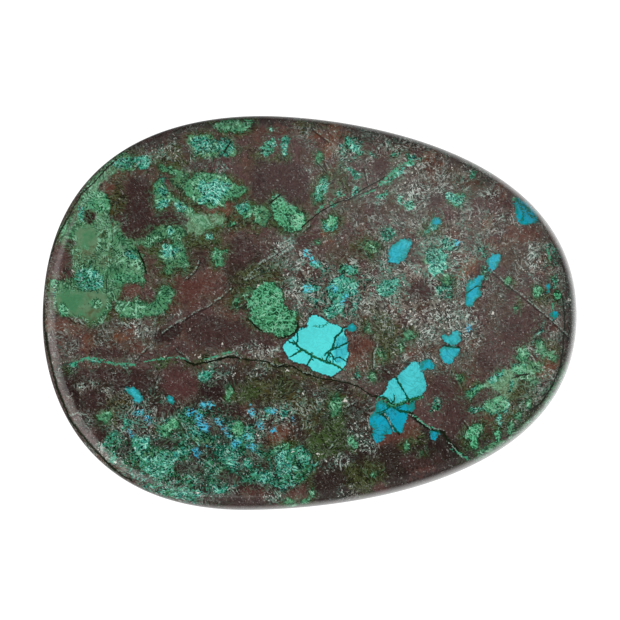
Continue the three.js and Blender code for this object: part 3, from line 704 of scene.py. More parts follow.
# %% Map of the bare rock
# clean patches with few grains in them; tone 0 is nearly black, 1 is light and pinkish
BARE_ROCK = [
    (0.5, [(252, 163), (280, 161), (309, 166), (311, 200), (302, 208), (288, 203), (276, 192),
           (262, 206), (250, 198)]),
    (0.5, [(182, 148), (190, 147), (195, 157), (184, 158)]),
    (0.5, [(198, 160), (229, 157), (230, 165), (200, 172), (184, 172), (184, 165)]),
    (0.3, [(128, 180), (140, 176), (152, 182), (154, 200), (152, 222), (160, 210), (182, 214),
           (190, 225), (176, 226), (160, 224), (148, 238), (131, 240), (121, 232), (120, 214),
           (128, 200)]),
    (0.5, [(190, 250), (204, 246), (212, 256), (206, 268), (196, 266), (188, 260)]),
    (0.5, [(172, 280), (196, 276), (206, 290), (180, 312)]),
    (0.5, [(228, 238), (250, 236), (262, 248), (250, 264), (236, 268), (230, 254)]),
    (0.6, [(295, 234), (310, 233), (313, 246), (298, 249)]),
    (0.7, [(373, 158), (386, 156), (391, 164), (386, 178), (378, 182), (372, 172)]),
    (0.6, [(427, 199), (437, 191), (445, 193), (440, 203), (431, 206)]),
    (0.8, [(464, 273), (474, 264), (482, 268), (476, 278)]),
    (0.5, [(408, 284), (420, 280), (436, 282), (436, 296), (420, 302), (408, 298)]),
    (0.7, [(500, 286), (512, 289), (514, 302), (503, 304)]),
    (0.6, [(539, 275), (549, 275), (547, 284), (540, 285)]),
    (0.5, [(184, 314), (204, 312), (222, 318), (244, 322), (258, 331), (276, 338), (270, 350),
           (246, 344), (214, 348), (196, 346), (184, 334)]),
    (0.0, [(200, 384), (214, 380), (226, 384), (226, 398), (212, 401), (202, 397)]),
    (0.4, [(74, 369), (112, 367), (116, 376), (110, 382), (84, 380)]),
    (0.5, [(80, 348), (118, 347), (132, 352), (119, 358), (82, 357)]),
    (0.3, [(80, 392), (100, 391), (110, 402), (104, 412), (86, 410)]),
    (0.3, [(114, 370), (130, 366), (150, 376), (156, 386), (146, 392), (124, 386), (116, 394)]),
    (0.6, [(160, 376), (168, 370), (186, 371), (196, 380), (195, 392), (188, 402), (178, 396),
           (163, 390)]),
    (0.6, [(428, 376), (446, 372), (462, 386), (470, 404), (466, 424), (450, 438), (440, 424),
           (444, 404), (430, 392)]),
    (0.7, [(481, 388), (492, 388), (498, 394), (470, 408), (474, 398)]),
    (0.7, [(500, 318), (520, 308), (540, 308), (545, 318), (538, 332), (528, 342), (516, 348),
           (500, 344)]),
    (0.7, [(476, 355), (495, 353), (496, 370), (480, 378)]),
    (0.4, [(400, 456), (414, 452), (430, 458), (440, 452), (444, 462), (426, 468), (404, 468)]),
    (0.1, [(418, 472), (458, 456), (460, 463), (440, 475), (418, 482)]),
    (0.2, [(97, 431), (111, 430), (104, 443), (98, 440)]),
    (0.1, [(150, 440), (166, 437), (178, 439), (176, 447), (154, 448)]),
    (0.1, [(154, 410), (164, 403), (178, 407), (176, 416), (162, 420)]),
    (0.0, [(118, 447), (130, 443), (135, 450), (126, 457), (119, 454)]),
    (0.4, [(202, 418), (210, 420), (217, 428), (214, 436), (205, 427)]),
    (0.3, [(187, 456), (195, 452), (203, 457), (196, 461)]),
    (0.2, [(133, 425), (141, 422), (146, 430), (138, 435)]),
    (0.1, [(220, 402), (238, 400), (244, 412), (236, 421), (222, 416)]),
    (0.2, [(246, 455), (256, 452), (262, 460), (254, 466)]),
    (0.1, [(262, 440), (268, 436), (270, 444), (263, 447)]),
    (0.0, [(175, 470), (183, 464), (193, 462), (204, 464), (202, 470), (194, 473), (180, 474)]),
    (0.3, [(228, 475), (234, 471), (240, 476), (238, 484), (228, 482)]),
    (0.3, [(230, 493), (244, 496), (262, 495), (268, 503), (250, 506), (232, 505)]),
    (0.0, [(60, 372), (70, 376), (88, 410), (78, 408), (66, 390)]),
    (0.4, [(116, 172), (122, 170), (124, 176), (118, 178)]),
    (0.5, [(100, 185), (107, 182), (114, 186), (111, 193), (103, 193)]),
    (0.9, [(50, 272), (58, 244), (68, 249), (74, 258), (74, 271), (64, 276)]),
    (0.3, [(196, 496), (224, 494), (226, 503), (200, 503)]),
    (0.0, [(84, 220), (86, 214), (91, 211), (96, 214), (97, 221), (93, 227), (87, 226)]),
    (0.0, [(67, 241), (72, 239), (76, 244), (71, 249)]),
    (0.2, [(63, 268), (70, 266), (75, 272), (66, 276)]),
    (0.3, [(378, 364), (394, 360), (402, 364), (394, 376), (384, 382), (376, 378)]),
    (0.1, [(318, 378), (346, 382), (352, 390), (330, 390)]),
    (0.2, [(155, 333), (184, 320), (184, 330), (170, 344), (156, 345)]),
    (0.4, [(154, 404), (166, 401), (172, 408), (168, 418), (158, 418)]),
    (0.5, [(206, 419), (214, 416), (222, 424), (224, 434), (214, 434), (207, 428)]),
    (0.1, [(119, 446), (126, 442), (132, 450), (126, 455), (120, 453)]),
    (0.4, [(176, 463), (186, 460), (201, 462), (204, 468), (190, 473), (178, 471)]),
    (0.0, [(195, 453), (205, 451), (211, 456), (204, 461), (196, 459)]),
    (0.5, [(221, 476), (232, 472), (242, 476), (238, 484), (226, 484)]),
    (0.2, [(246, 448), (254, 450), (252, 460), (246, 458)]),
    (0.2, [(260, 458), (268, 460), (270, 468), (262, 470)]),
    (0.5, [(510, 400), (516, 398), (518, 406), (512, 408)]),
    (0.5, [(205, 416), (212, 414), (219, 433), (212, 432), (207, 424)]),
    (0.3, [(350, 337), (361, 332), (374, 336), (373, 348), (362, 356), (352, 352)]),
    (0.2, [(173, 466), (184, 461), (200, 463), (208, 470), (196, 475), (180, 473)]),
    (0.3, [(217, 470), (226, 467), (234, 477), (226, 484), (216, 479)]),
    (0.2, [(236, 483), (250, 481), (263, 484), (262, 494), (244, 496)]),
]
print("Patches of bare rock:", len(BARE_ROCK))

# %% Map of the pale grains
# rock peppered with quartz; tone 0 is beige and grey, 1 is blue-green and grey
PALE_GRAINS = [
    (0.1, [(345, 282), (362, 276), (380, 284), (376, 302), (360, 314), (346, 310)]),
    (0.4, [(338, 150), (350, 152), (356, 160), (346, 168)]),
    (0.0, [(400, 184), (412, 180), (424, 186), (424, 200), (412, 206), (402, 198)]),
    (0.3, [(376, 140), (400, 142), (424, 152), (420, 156), (396, 150), (376, 150)]),
    (0.5, [(378, 230), (390, 227), (398, 238), (388, 246)]),
    (0.6, [(295, 254), (314, 250), (318, 284), (306, 302), (290, 304), (284, 290), (296, 272)]),
    (0.1, [(416, 282), (436, 276), (441, 292), (424, 302)]),
    (0.8, [(406, 268), (418, 265), (428, 267), (427, 277), (410, 279)]),
    (0.8, [(374, 300), (380, 292), (388, 286), (398, 290), (400, 300), (388, 306)]),
    (0.1, [(524, 244), (544, 242), (552, 270), (540, 284), (524, 280)]),
    (0.1, [(118, 306), (134, 303), (150, 320), (148, 342), (136, 346), (134, 326), (118, 326)]),
    (0.2, [(400, 312), (420, 306), (440, 310), (440, 330), (430, 344), (412, 344), (400, 330)]),
    (0.2, [(440, 306), (462, 304), (476, 322), (468, 338), (458, 330), (442, 330)]),
    (0.6, [(380, 304), (394, 306), (404, 326), (402, 340), (386, 344), (378, 330)]),
    (0.0, [(532, 352), (556, 366), (552, 384), (542, 402), (530, 404), (536, 376)]),
    (0.1, [(240, 343), (262, 338), (282, 352), (270, 358), (246, 354)]),
    (0.2, [(213, 368), (222, 363), (236, 370), (230, 378), (214, 380)]),
    (0.6, [(270, 398), (286, 398), (300, 392), (302, 404), (290, 414), (274, 412)]),
    (0.3, [(298, 412), (312, 408), (318, 424), (308, 434), (298, 428)]),
    (0.2, [(322, 461), (342, 457), (352, 451), (352, 460), (330, 470)]),
    (0.2, [(336, 494), (352, 482), (358, 490), (344, 500)]),
    (0.6, [(130, 404), (146, 402), (154, 410), (150, 420), (134, 418)]),
    (0.5, [(132, 420), (150, 424), (152, 436), (136, 436)]),
    (0.5, [(183, 414), (192, 414), (198, 424), (190, 430), (184, 424)]),
    (0.2, [(258, 492), (272, 490), (282, 500), (266, 504)]),
    (0.7, [(76, 386), (80, 381), (98, 379), (100, 385), (82, 392)]),
    (0.1, [(94, 388), (108, 384), (112, 396), (102, 404)]),
    (0.2, [(346, 420), (374, 432), (376, 448), (362, 454), (350, 448)]),
    (0.3, [(184, 156), (196, 160), (216, 158), (228, 164), (190, 162)]),
    (0.4, [(300, 166), (312, 168), (316, 178), (306, 178)]),
    (0.4, [(166, 401), (186, 406), (186, 416), (170, 412)]),
    (0.4, [(254, 366), (266, 364), (267, 373), (256, 374)]),
    (0.7, [(316, 398), (330, 396), (330, 406), (318, 408)]),
    (1.0, [(186, 164), (202, 160), (218, 160), (232, 167), (222, 173), (206, 170), (190, 174)]),
    (0.8, [(140, 158), (158, 149), (176, 146), (192, 150), (186, 156), (164, 158), (150, 166)]),
    (0.1, [(150, 300), (166, 312), (180, 316), (160, 322), (140, 322)]),
    (1.0, [(112, 436), (134, 410), (148, 402), (162, 404), (160, 418), (150, 430), (140, 438),
           (126, 440)]),
    (0.9, [(250, 412), (262, 402), (308, 404), (308, 420), (290, 424), (254, 426)]),
    (0.5, [(478, 386), (505, 370), (526, 364), (528, 373), (514, 380), (512, 400), (508, 412),
           (490, 414), (480, 410), (498, 390)]),
    (0.6, [(516, 348), (530, 340), (546, 338), (558, 354), (558, 366), (540, 360), (526, 358)]),
    (0.5, [(528, 374), (548, 366), (556, 372), (546, 392), (532, 404), (524, 392)]),
    (0.5, [(182, 222), (194, 211), (228, 215), (206, 236), (190, 234)]),
    (0.35, [(96, 222), (108, 219), (120, 222), (122, 236), (108, 236)]),
    (0.4, [(118, 240), (128, 244), (140, 262), (144, 274), (128, 274), (117, 262)]),
    (0.2, [(76, 250), (92, 246), (104, 256), (104, 270), (84, 272), (74, 262)]),
    (0.3, [(80, 190), (112, 164), (120, 168), (92, 200), (80, 206)]),
    (1.0, [(364, 284), (384, 276), (402, 284), (406, 306), (392, 320), (372, 314)]),
    (1.0, [(420, 236), (444, 232), (462, 240), (456, 262), (440, 274), (424, 266)]),
    (0.7, [(160, 477), (180, 485), (206, 489), (226, 484), (230, 492), (206, 500), (176, 494)]),
    (0.8, [(262, 262), (272, 250), (292, 238), (295, 244), (265, 265)]),
]
print("Patches of pale grains:", len(PALE_GRAINS))

# %% Map of the peppering
# how thickly the brown rock is strewn with fine pale grains, from 0 to 1, at chosen places
PEPPERING = [
    (0.6, (440, 210)), (0.25, (505, 255)), (0.8, (430, 292)), (1.0, (362, 292)), (0.8, (305, 275)),
    (0.5, (350, 155)), (1.0, (425, 330)), (0.8, (546, 375)), (0.5, (390, 340)), (0.3, (330, 200)),
    (0.0, (275, 185)), (0.1, (200, 250)), (0.2, (228, 370)), (0.2, (262, 347)), (0.3, (290, 402)),
    (0.0, (340, 480)), (0.0, (400, 470)), (0.4, (130, 322)), (0.3, (88, 338)), (0.2, (100, 388)),
    (0.9, (142, 412)), (0.1, (205, 335)), (0.0, (178, 384)), (0.1, (452, 405)), (0.1, (520, 330)),
    (0.3, (472, 360)), (0.6, (485, 215)), (0.1, (130, 195)), (0.1, (188, 165)), (0.8, (235, 440)),
    (0.1, (330, 440)), (0.0, (280, 385)), (0.1, (250, 495)), (0.0, (435, 468)), (0.6, (175, 445)),
    (0.1, (240, 270)), (0.1, (200, 290)), (0.3, (350, 230)), (0.5, (400, 240)), (0.5, (555, 310)),
    (0.4, (350, 400)), (0.1, (150, 225)), (0.8, (470, 320)), (0.2, (360, 350)), (0.1, (300, 220)),
    (0.6, (400, 200)), (0.1, (345, 180)),
]
print("Places with a chosen peppering:", len(PEPPERING))

# %% Map of the dark ground
# rock richer in iron, and painted shade along the rim, with tone 0 dark brown and 1 nearly black
DARK_GROUND_AND_RIM_SHADE = [
    (0.8, [(300, 400), (340, 404), (366, 404), (372, 440), (404, 436), (420, 424), (444, 436),
           (470, 440), (500, 430), (470, 470), (430, 490), (380, 502), (320, 508), (256, 508),
           (180, 500), (200, 478), (240, 482), (290, 476), (318, 462), (316, 446), (300, 440)]),
    (0.5, [(64, 372), (90, 368), (120, 366), (126, 388), (112, 400), (116, 424), (100, 440), (84, 420),
           (70, 396)]),
    (0.4, [(52, 360), (90, 372), (140, 376), (200, 368), (260, 366), (300, 378), (370, 392), (376, 440),
           (320, 470), (290, 508), (200, 506), (130, 476), (84, 424)]),
    (0.4, [(240, 368), (280, 372), (300, 384), (300, 402), (262, 404), (246, 392)]),
    (0.2, [(130, 372), (180, 366), (220, 372), (222, 398), (150, 392)]),
    (0.4, [(96, 190), (118, 186), (130, 204), (128, 222), (110, 220), (98, 206)]),
    # painted shade along the rim, where the polished edge mirrors the dark room
    (0.7, [(99, 167), (121, 149), (145, 137), (172, 127), (202, 119), (240, 115), (340, 117),
           (340, 128), (290, 124), (204, 131), (176, 139), (152, 149), (128, 161), (108, 177)]),
    (0.4, [(340, 117), (404, 131), (458, 151), (504, 178), (494, 184), (452, 163), (402, 146),
           (340, 132)]),
    (0.5, [(560, 240), (574, 277), (578, 315), (572, 360), (554, 399), (531, 429), (488, 463),
           (438, 485), (380, 499), (320, 508), (320, 499), (380, 488), (434, 470), (482, 448),
           (520, 418), (544, 388), (560, 354), (566, 315), (562, 277), (550, 244)]),
    # small ones laid over the others
    (0.3, [(222, 252), (246, 246), (266, 258), (262, 284), (246, 296), (226, 288)]),
    (0.8, [(176, 465), (190, 462), (206, 466), (198, 473), (182, 472)]),
    (0.8, [(118, 444), (128, 442), (136, 448), (128, 454)]),
    (0.7, [(428, 193), (436, 192), (440, 200), (434, 206), (428, 202)]),
]
print("Patches of dark ground:", len(DARK_GROUND_AND_RIM_SHADE))

# %% [markdown]
# ## Map of the cracks and grains
#
# After the minerals had grown, the rock cracked, and dark green and black mineral filled the
# cracks. Dark lines of painted shade along the rim are kept with the cracks. Thin pale lines run
# across the whole stone: healed cracks, and a few scratches. A line needs only its bends and half
# its width. The brightest quartz grains are drawn one by one, and the thousands of others are
# left to the material.

# %% Map of the lines
# dark cracks, and painted dark lines of shade along the rim: half the width in pixels, then the bends
CRACKS_AND_RIM_SHADE = [
    # the long crack across the stone
    (1.1, [(186, 361), (195, 365), (206, 362), (216, 360), (228, 357), (236, 357)]),
    (0.7, [(236, 357), (250, 360), (265, 361), (277, 366), (292, 366), (304, 373), (320, 378),
           (345, 382), (358, 386), (372, 396)]),
    # the healed crack to the upper right
    (0.6, [(302, 227), (318, 214), (334, 204), (352, 197), (366, 188), (384, 178)]),
    # in the patches of chrysocolla
    (1.0, [(290, 342), (296, 345), (303, 350), (313, 356), (325, 362), (333, 364), (343, 369)]),
    (0.8, [(297, 330), (298, 338), (296, 345)]),
    (0.8, [(312, 355), (310, 361), (307, 365)]),
    (0.7, [(290, 357), (297, 353), (303, 350)]),
    (1.1, [(344, 328), (339, 334), (335, 338), (334, 345), (332, 349), (326, 353)]),
    (0.8, [(348, 342), (341, 346), (332, 350)]),
    (0.9, [(330, 351), (327, 357), (325, 362)]),
    (0.7, [(330, 351), (333, 357), (333, 363)]),
    (0.6, [(335, 358), (340, 357), (346, 361)]),
    (1.5, [(376, 396), (385, 398), (391, 406), (405, 402), (421, 396)]),
    (1.0, [(396, 378), (403, 390), (410, 401)]),
    (1.2, [(391, 406), (400, 411), (409, 412)]),
    (1.1, [(378, 413), (387, 417), (392, 425), (398, 433)]),
    (0.7, [(378, 413), (385, 410), (391, 406)]),
    (0.7, [(394, 396), (394, 402)]),
    (0.8, [(446, 346), (452, 347), (459, 347)]),
    (0.7, [(467, 293), (476, 286), (483, 287)]),
    # to the lower right edge
    (1.5, [(409, 412), (416, 419), (427, 427), (437, 430), (443, 432), (449, 442), (457, 451),
           (467, 458)]),
    # in the green patches
    (0.8, [(224, 153), (231, 143)]),
    (0.8, [(271, 203), (280, 195)]),
    (0.8, [(262, 331), (256, 327), (250, 320)]),
    (0.9, [(282, 338), (292, 335), (297, 330), (298, 322)]),
    (0.8, [(514, 377), (520, 375), (527, 374)]),
    (0.4, [(72, 276), (72, 290)]),
    (0.4, [(108, 272), (107, 294)]),
    (0.8, [(139, 251), (144, 262), (147, 273)]),
    # painted dark lines along the rim: shade where the polished edge mirrors a dark gap in the room, not
    # cracks
    (0.7, [(562, 296), (564, 320), (562, 350), (560, 365), (555, 378), (549, 390), (540, 403),
           (530, 410)]),
    (0.8, [(330, 500), (345, 496), (351, 490)]),
    (1.1, [(44, 300), (45, 320), (47, 340), (50, 355), (54, 372), (58, 388), (64, 402), (70, 418),
           (80, 431), (92, 445), (104, 458), (114, 468), (122, 474), (132, 480)]),
    (0.7, [(50, 262), (57, 239), (67, 221), (73, 210), (82, 194), (94, 184), (99, 178), (109, 167),
           (117, 160)]),
]
# green veins: half the width in pixels, then the bends
GREEN_VEINS = [
    (1.3, [(73, 364), (79, 361), (88, 359), (100, 359), (108, 362), (116, 364)]),
    (0.9, [(120, 363), (135, 365)]),
    (0.7, [(146, 362), (160, 359), (178, 357), (188, 360)]),
    (0.9, [(206, 359), (220, 355), (233, 351), (240, 355)]),
    (0.9, [(316, 212), (324, 206)]),
    (0.9, [(334, 200), (344, 195)]),
    (1.6, [(380, 185), (386, 180), (393, 172), (402, 165), (412, 162)]),
    (0.8, [(362, 196), (374, 190)]),
    (1.8, [(514, 200), (520, 206), (524, 213), (522, 220)]),
    (1.6, [(520, 206), (527, 208), (530, 215), (534, 218)]),
    (1.0, [(314, 326), (322, 326), (328, 323)]),
    (0.9, [(297, 353), (303, 350), (313, 356), (325, 362), (333, 364), (343, 369)]),
    (1.4, [(378, 399), (385, 400), (391, 406), (405, 402), (421, 396)]),
    (0.8, [(414, 416), (427, 426), (437, 430)]),
    (1.0, [(452, 449), (461, 455), (468, 459)]),
    (0.8, [(547, 250), (549, 262)]),
    (0.8, [(553, 300), (552, 316)]),
    (0.8, [(60, 432), (66, 440)]),
]
# pale lines: half the width in pixels, then the bends
PALE_LINES = [
    # the healed crack from the lower left to the upper right
    (0.7, [(136, 359), (146, 349), (151, 345)]),
    (0.8, [(163, 333), (171, 326), (180, 320)]),
    (0.7, [(183, 320), (193, 313), (208, 306), (220, 298), (232, 287)]),
    (0.7, [(243, 278), (252, 272), (258, 268)]),
    (1.1, [(258, 265), (270, 257), (280, 250), (292, 242)]),
    (0.7, [(244, 280), (250, 278), (257, 275)]),
    (0.6, [(274, 249), (283, 243), (290, 239)]),
    (0.6, [(303, 231), (309, 226)]),
    (0.5, [(345, 200), (358, 194), (376, 187)]),
    # in the dark cracks
    (0.8, [(206, 361), (220, 357), (233, 353), (240, 357)]),
    (0.6, [(271, 363), (276, 366), (282, 364)]),
    (0.6, [(303, 372), (308, 373)]),
    (0.6, [(410, 414), (420, 421), (430, 428), (442, 429)]),
    (0.6, [(448, 442), (455, 449), (461, 456)]),
    (0.7, [(384, 413), (388, 418), (393, 428)]),
    # the long scratch
    (0.6, [(493, 272), (503, 281), (515, 290), (533, 305), (547, 316), (570, 338)]),
    # small ones
    (0.6, [(178, 350), (186, 356), (190, 361)]),
    (1.1, [(72, 415), (79, 413), (86, 414), (91, 418)]),
    (0.7, [(187, 278), (195, 271), (199, 262)]),
    (0.7, [(377, 345), (374, 354), (374, 366)]),
    (0.7, [(159, 379), (157, 384), (157, 389)]),
    (0.7, [(133, 164), (137, 167), (140, 162)]),
    (0.8, [(177, 417), (185, 426), (187, 431)]),
    (0.8, [(120, 323), (125, 323), (131, 327)]),
    (0.7, [(254, 369), (262, 367), (267, 371)]),
    (0.7, [(292, 216), (291, 224)]),
    (0.7, [(73, 319), (77, 322)]),
    (0.7, [(79, 318), (83, 323)]),
    (1.0, [(431, 327), (437, 328)]),
    (0.7, [(413, 323), (418, 319)]),
    (0.8, [(402, 342), (406, 346)]),
    (0.8, [(386, 370), (389, 373)]),
    (0.7, [(338, 388), (341, 389)]),
    (0.8, [(316, 402), (323, 400)]),
    (0.8, [(348, 405), (353, 403)]),
    (0.8, [(331, 446), (335, 440)]),
    (0.7, [(355, 374), (358, 378)]),
    (0.7, [(252, 341), (257, 345)]),
    (0.7, [(203, 459), (213, 466)]),
    (0.6, [(314, 130), (328, 141)]),
    (0.5, [(365, 170), (368, 184)]),
    (0.6, [(301, 270), (309, 284)]),
    (0.6, [(128, 389), (122, 388)]),
    (0.7, [(465, 421), (468, 426)]),
]
# bright quartz grains: radius in pixels, then the middle
QUARTZ_GRAINS = [
    (1.5, (200, 357)), (2.0, (492, 313)), (2.0, (345, 400)), (1.1, (190, 330)),
    (1.3, (222, 344)), (1.2, (235, 339)), (1.5, (261, 345)), (1.5, (136, 326)),
    (1.4, (117, 461)), (1.0, (293, 451)), (1.0, (248, 435)), (1.4, (258, 435)),
    (1.2, (198, 492)), (1.1, (165, 356)), (1.0, (195, 355)), (1.1, (210, 366)),
    (1.1, (221, 366)), (1.1, (235, 373)), (1.5, (319, 454)), (1.1, (326, 460)),
    (1.3, (336, 460)), (1.4, (452, 169)), (1.2, (410, 312)), (1.2, (440, 326)),
    (1.3, (435, 410)), (1.4, (393, 354)), (1.3, (382, 349)), (1.2, (470, 386)),
    (1.7, (287, 370)), (1.2, (334, 132)), (1.3, (412, 173)), (1.2, (258, 286)),
    (1.7, (568, 300)), (1.3, (303, 393)), (1.3, (74, 271)),
]
print(len(CRACKS_AND_RIM_SHADE), "cracks,", len(GREEN_VEINS), "green veins,",
      len(PALE_LINES), "pale lines and", len(QUARTZ_GRAINS), "quartz grains")

# %% [markdown]
# ## The map on the mesh
#
# The map has to reach the material. Each point of the mesh works out how deep it lies inside
# the nearest outline of each mineral, and keeps that depth as an attribute. The material then
# draws the border where the depth is nought. Points 0.15 mm apart are close enough for that,
# because the depth runs straight from point to point, also across a border. A painted picture
# would need far more points for an edge as sharp.

# %% Depth inside an outline
MAP_REACH = 1.5 * MM  # depths are worked out this far round a patch
flat = place[:, :2]


def cut_corners(corners):
    """Cuts each corner of an outline off, a quarter of the way along its sides."""
    following = np.roll(corners, -1, axis=0)
    cut = [0.75 * corners + 0.25 * following, 0.25 * corners + 0.75 * following]
    return np.stack(cut, axis=1).reshape(-1, 2)


def distance_to_line(points, corners):
    """How far points lie from a bent line, and on which side of it, as 1 or -1."""
    nearest = np.full(len(points), np.inf)
    side = np.ones(len(points))
    for start, end in zip(corners[:-1], corners[1:]):
        along = end - start
        away = points - start
        away -= np.clip(away @ along / (along @ along), 0, 1)[:, None] * along
        distance = np.hypot(away[:, 0], away[:, 1])
        closer = distance < nearest
        nearest[closer] = distance[closer]
        side[closer] = np.where(along[0] * away[:, 1] > along[1] * away[:, 0], 1, -1)[closer]
    return nearest, side


def is_inside(points, corners):
    """Counts how often a line to the right of each point meets the outline: once or thrice is inside."""
    inside = np.zeros(len(points), dtype=bool)
    for (x0, y0), (x1, y1) in zip(corners, np.roll(corners, -1, axis=0)):
        meets = (y0 > points[:, 1]) != (y1 > points[:, 1])
        steepness = (x1 - x0) / (y1 - y0 if y1 != y0 else 1)
        inside ^= meets & (points[:, 0] < x0 + (points[:, 1] - y0) * steepness)
    return inside


def nearby(corners):
    """Which points of the stone lie in or round the box of some corners."""
    low, high = corners.min(axis=0) - MAP_REACH, corners.max(axis=0) + MAP_REACH
    return np.flatnonzero(((flat > low) & (flat < high)).all(axis=1))


def corners_on_stone(pixels):
    """Turns the corners of an outline or the bends of a line into places on the stone."""
    return np.array([on_stone(x, y) for x, y in pixels])


def keep_on_mesh(name, values):
    """Keeps one value for every point of the stone, where a material can read it."""
    stone.data.attributes.new(name, "FLOAT", "POINT").data.foreach_set("value", values)


# %% Put the minerals on the mesh


def map_mineral(name, patches):
    """Keeps a mineral's depth in millimetres and its tone. The last patch on top gives the tone."""
    depth = np.full(len(flat), -MAP_REACH)
    tone = np.full(len(flat), 0.5)
    for patch_tone, pixels in patches:
        corners = cut_corners(corners_on_stone(pixels))
        near = nearby(corners)
        distance, _ = distance_to_line(flat[near], np.vstack([corners, corners[:1]]))
        inner = is_inside(flat[near], corners)
        patch_depth = np.where(inner, distance, -distance)
        tone[near] = np.where(inner | (patch_depth > depth[near]), patch_tone, tone[near])
        depth[near] = np.maximum(depth[near], patch_depth)
    keep_on_mesh(name, depth / MM)
    keep_on_mesh(name + "_tone", tone)
    print(f"{name} covers {(depth[on_top] > 0).mean():.0%} of the top")


minerals = {"chrysocolla": CHRYSOCOLLA, "blue_specks": BLUE_SPECKS, "malachite": MALACHITE,
            "green_grains": GREEN_GRAINS, "stained_rock": STAINED_ROCK, "rust": RUST,
            "bare_rock": BARE_ROCK, "pale_grains": PALE_GRAINS, "dark_ground": DARK_GROUND_AND_RIM_SHADE}
for mineral, patches in minerals.items():
    map_mineral(mineral, patches)

# %% [markdown]
# A line is thinner than the squares of the mesh. Its plain distance would never reach nought at a
# point, but a distance with a sign does so between two points, on the line itself. So each line
# keeps both: the signed one draws it, and the plain one ends it.

# %% Put the lines and grains on the mesh


def map_lines(name, lines):
    """Keeps how far the nearest line is: in half widths of it with a sign, and in millimetres."""
    across = np.full(len(flat), MAP_REACH / PIXEL)
    plain = np.full(len(flat), MAP_REACH)
    for half_width, pixels in lines:
        corners = corners_on_stone(pixels)
        near = nearby(corners)
        distance, side = distance_to_line(flat[near], corners)
        closer = distance < plain[near]
        plain[near[closer]] = distance[closer]
        across[near[closer]] = (distance * side)[closer] / (half_width * PIXEL)
    keep_on_mesh(name, across)
    keep_on_mesh(name + "_distance", plain / MM)


def map_grains(name, grains):
    """Keeps the depth inside the nearest round grain, in millimetres."""
    depth = np.full(len(flat), -MAP_REACH)
    for radius, pixel in grains:
        away = flat - on_stone(*pixel)
        depth = np.maximum(depth, radius * PIXEL - np.hypot(away[:, 0], away[:, 1]))
    keep_on_mesh(name, depth / MM)


def map_peppering(places, spread):
    """Keeps a value that runs smoothly between the chosen places."""
    total = np.zeros(len(flat))
    weights = np.full(len(flat), 1e-6)
    for amount, pixel in places:
        away = flat - on_stone(*pixel)
        weight = np.exp(-(away**2).sum(axis=1) / spread**2)
        total += amount * weight
        weights += weight
    keep_on_mesh("peppering", total / weights)


map_peppering(PEPPERING, spread=2.5 * MM)
# the crack lines include painted dark lines of shade along the rim
map_lines("crack_and_rim_shade", CRACKS_AND_RIM_SHADE)
map_lines("green_vein", GREEN_VEINS)
map_lines("pale_line", PALE_LINES)
map_grains("quartz", QUARTZ_GRAINS)
print("The mesh keeps", len(stone.data.attributes), "attributes")

# %% [markdown]
# ## Wires for materials
#
# A material is a net of nodes. Written out one by one, the sums in it are hard to read, so a
# small class wraps the output of a node. Adding or multiplying two of them adds the Math node
# that does it. Every other node comes from one method, which sets the node up first and then
# plugs in its values and wires.

# %% A wire between nodes


class Wire:
    """One output of a node in the net that is being drawn."""

    net = None

    def __init__(self, socket):
        self.socket = socket

    @classmethod
    def node(cls, kind, settings, sockets, output=0):
        """Adds a node, sets it up, plugs in its values and wires, and gives one of its outputs."""
        made = cls.net.nodes.new(kind)
        for name, value in settings.items():
            setattr(made, name, value)
        for name, value in sockets.items():
            if isinstance(value, Wire):
                cls.net.links.new(value.socket, made.inputs[name])
            else:
                made.inputs[name].default_value = value
        return cls(made.outputs[output])

    @classmethod
    def math(cls, operation, *values):
        """Adds a Math node that works on some values."""
        return cls.node("ShaderNodeMath", {"operation": operation}, dict(enumerate(values)))

    def __add__(self, other):
        return Wire.math("ADD", self, other)

    def __sub__(self, other):
        return Wire.math("SUBTRACT", self, other)

    def __rsub__(self, other):
        return Wire.math("SUBTRACT", other, self)

    def __mul__(self, other):
        return Wire.math("MULTIPLY", self, other)

    def __abs__(self):
        return Wire.math("ABSOLUTE", self)

    __radd__ = __add__
    __rmul__ = __mul__


def mask(value, start, full):
    """A soft step: 0 where the value is at its start or short of it, 1 where it is full."""
    ends = {"Value": value, "From Min": start, "From Max": full}
    return Wire.node("ShaderNodeMapRange", {"interpolation_type": "SMOOTHSTEP"}, ends)


def mix(amount, first, second):
    """Mixes two colours: the first where the amount is 0, the second where it is 1."""
    return Wire.node("ShaderNodeMix", {"data_type": "RGBA"}, {0: amount, 6: first, 7: second}, output=2)


def layered(colour, *layers):
    """Lays more colours over one, each as strong as its amount."""
    for amount, over in layers:
        colour = mix(amount, colour, over)
    return colour


def larger(first, second):
    """The larger of two values at each place."""
    return Wire.math("MAXIMUM", first, second)


def parts(wire):
    """Splits a colour or a place into its three numbers."""
    split = Wire.node("ShaderNodeSeparateXYZ", {}, {0: wire})
    return [Wire(output) for output in split.socket.node.outputs]


def on_mesh(name):
    """Reads a value that the mesh keeps."""
    return Wire.node("ShaderNodeAttribute", {"attribute_name": name}, {}, output="Fac")


print("Wires add, take away and multiply")

# %% [markdown]
# ## Polished rock
#
# The picture is the guide for every colour, so colours are written as a picture shows them, from
# 0 to 255. The eye reads dark and light on a curve, and Blender wants plain amounts of light, so
# `seen` turns one into the other. It also takes off the sheen that the studio lays on the stone.

# %% Colours
SHEEN = 0.005  # light that the polish adds to every colour
LIGHT = 0.77  # how much of a colour the studio light gives back


def seen(red, green, blue):
    """Turns a colour as seen in the picture into the colour of the rock."""
    light = [((part / 255 + 0.055) / 1.055) ** 2.4 for part in (red, green, blue)]
    return tuple(min(max((part - SHEEN) / LIGHT, 0.001), 0.9) for part in light) + (1,)


polish = bpy.data.materials.new("polished_rock")
polish.use_nodes = True
shader = polish.node_tree.nodes["Principled BSDF"]
Wire.net = polish.node_tree
stone.data.materials.append(polish)
print("A mid brown as seen is rock of", seen(72, 58, 56))

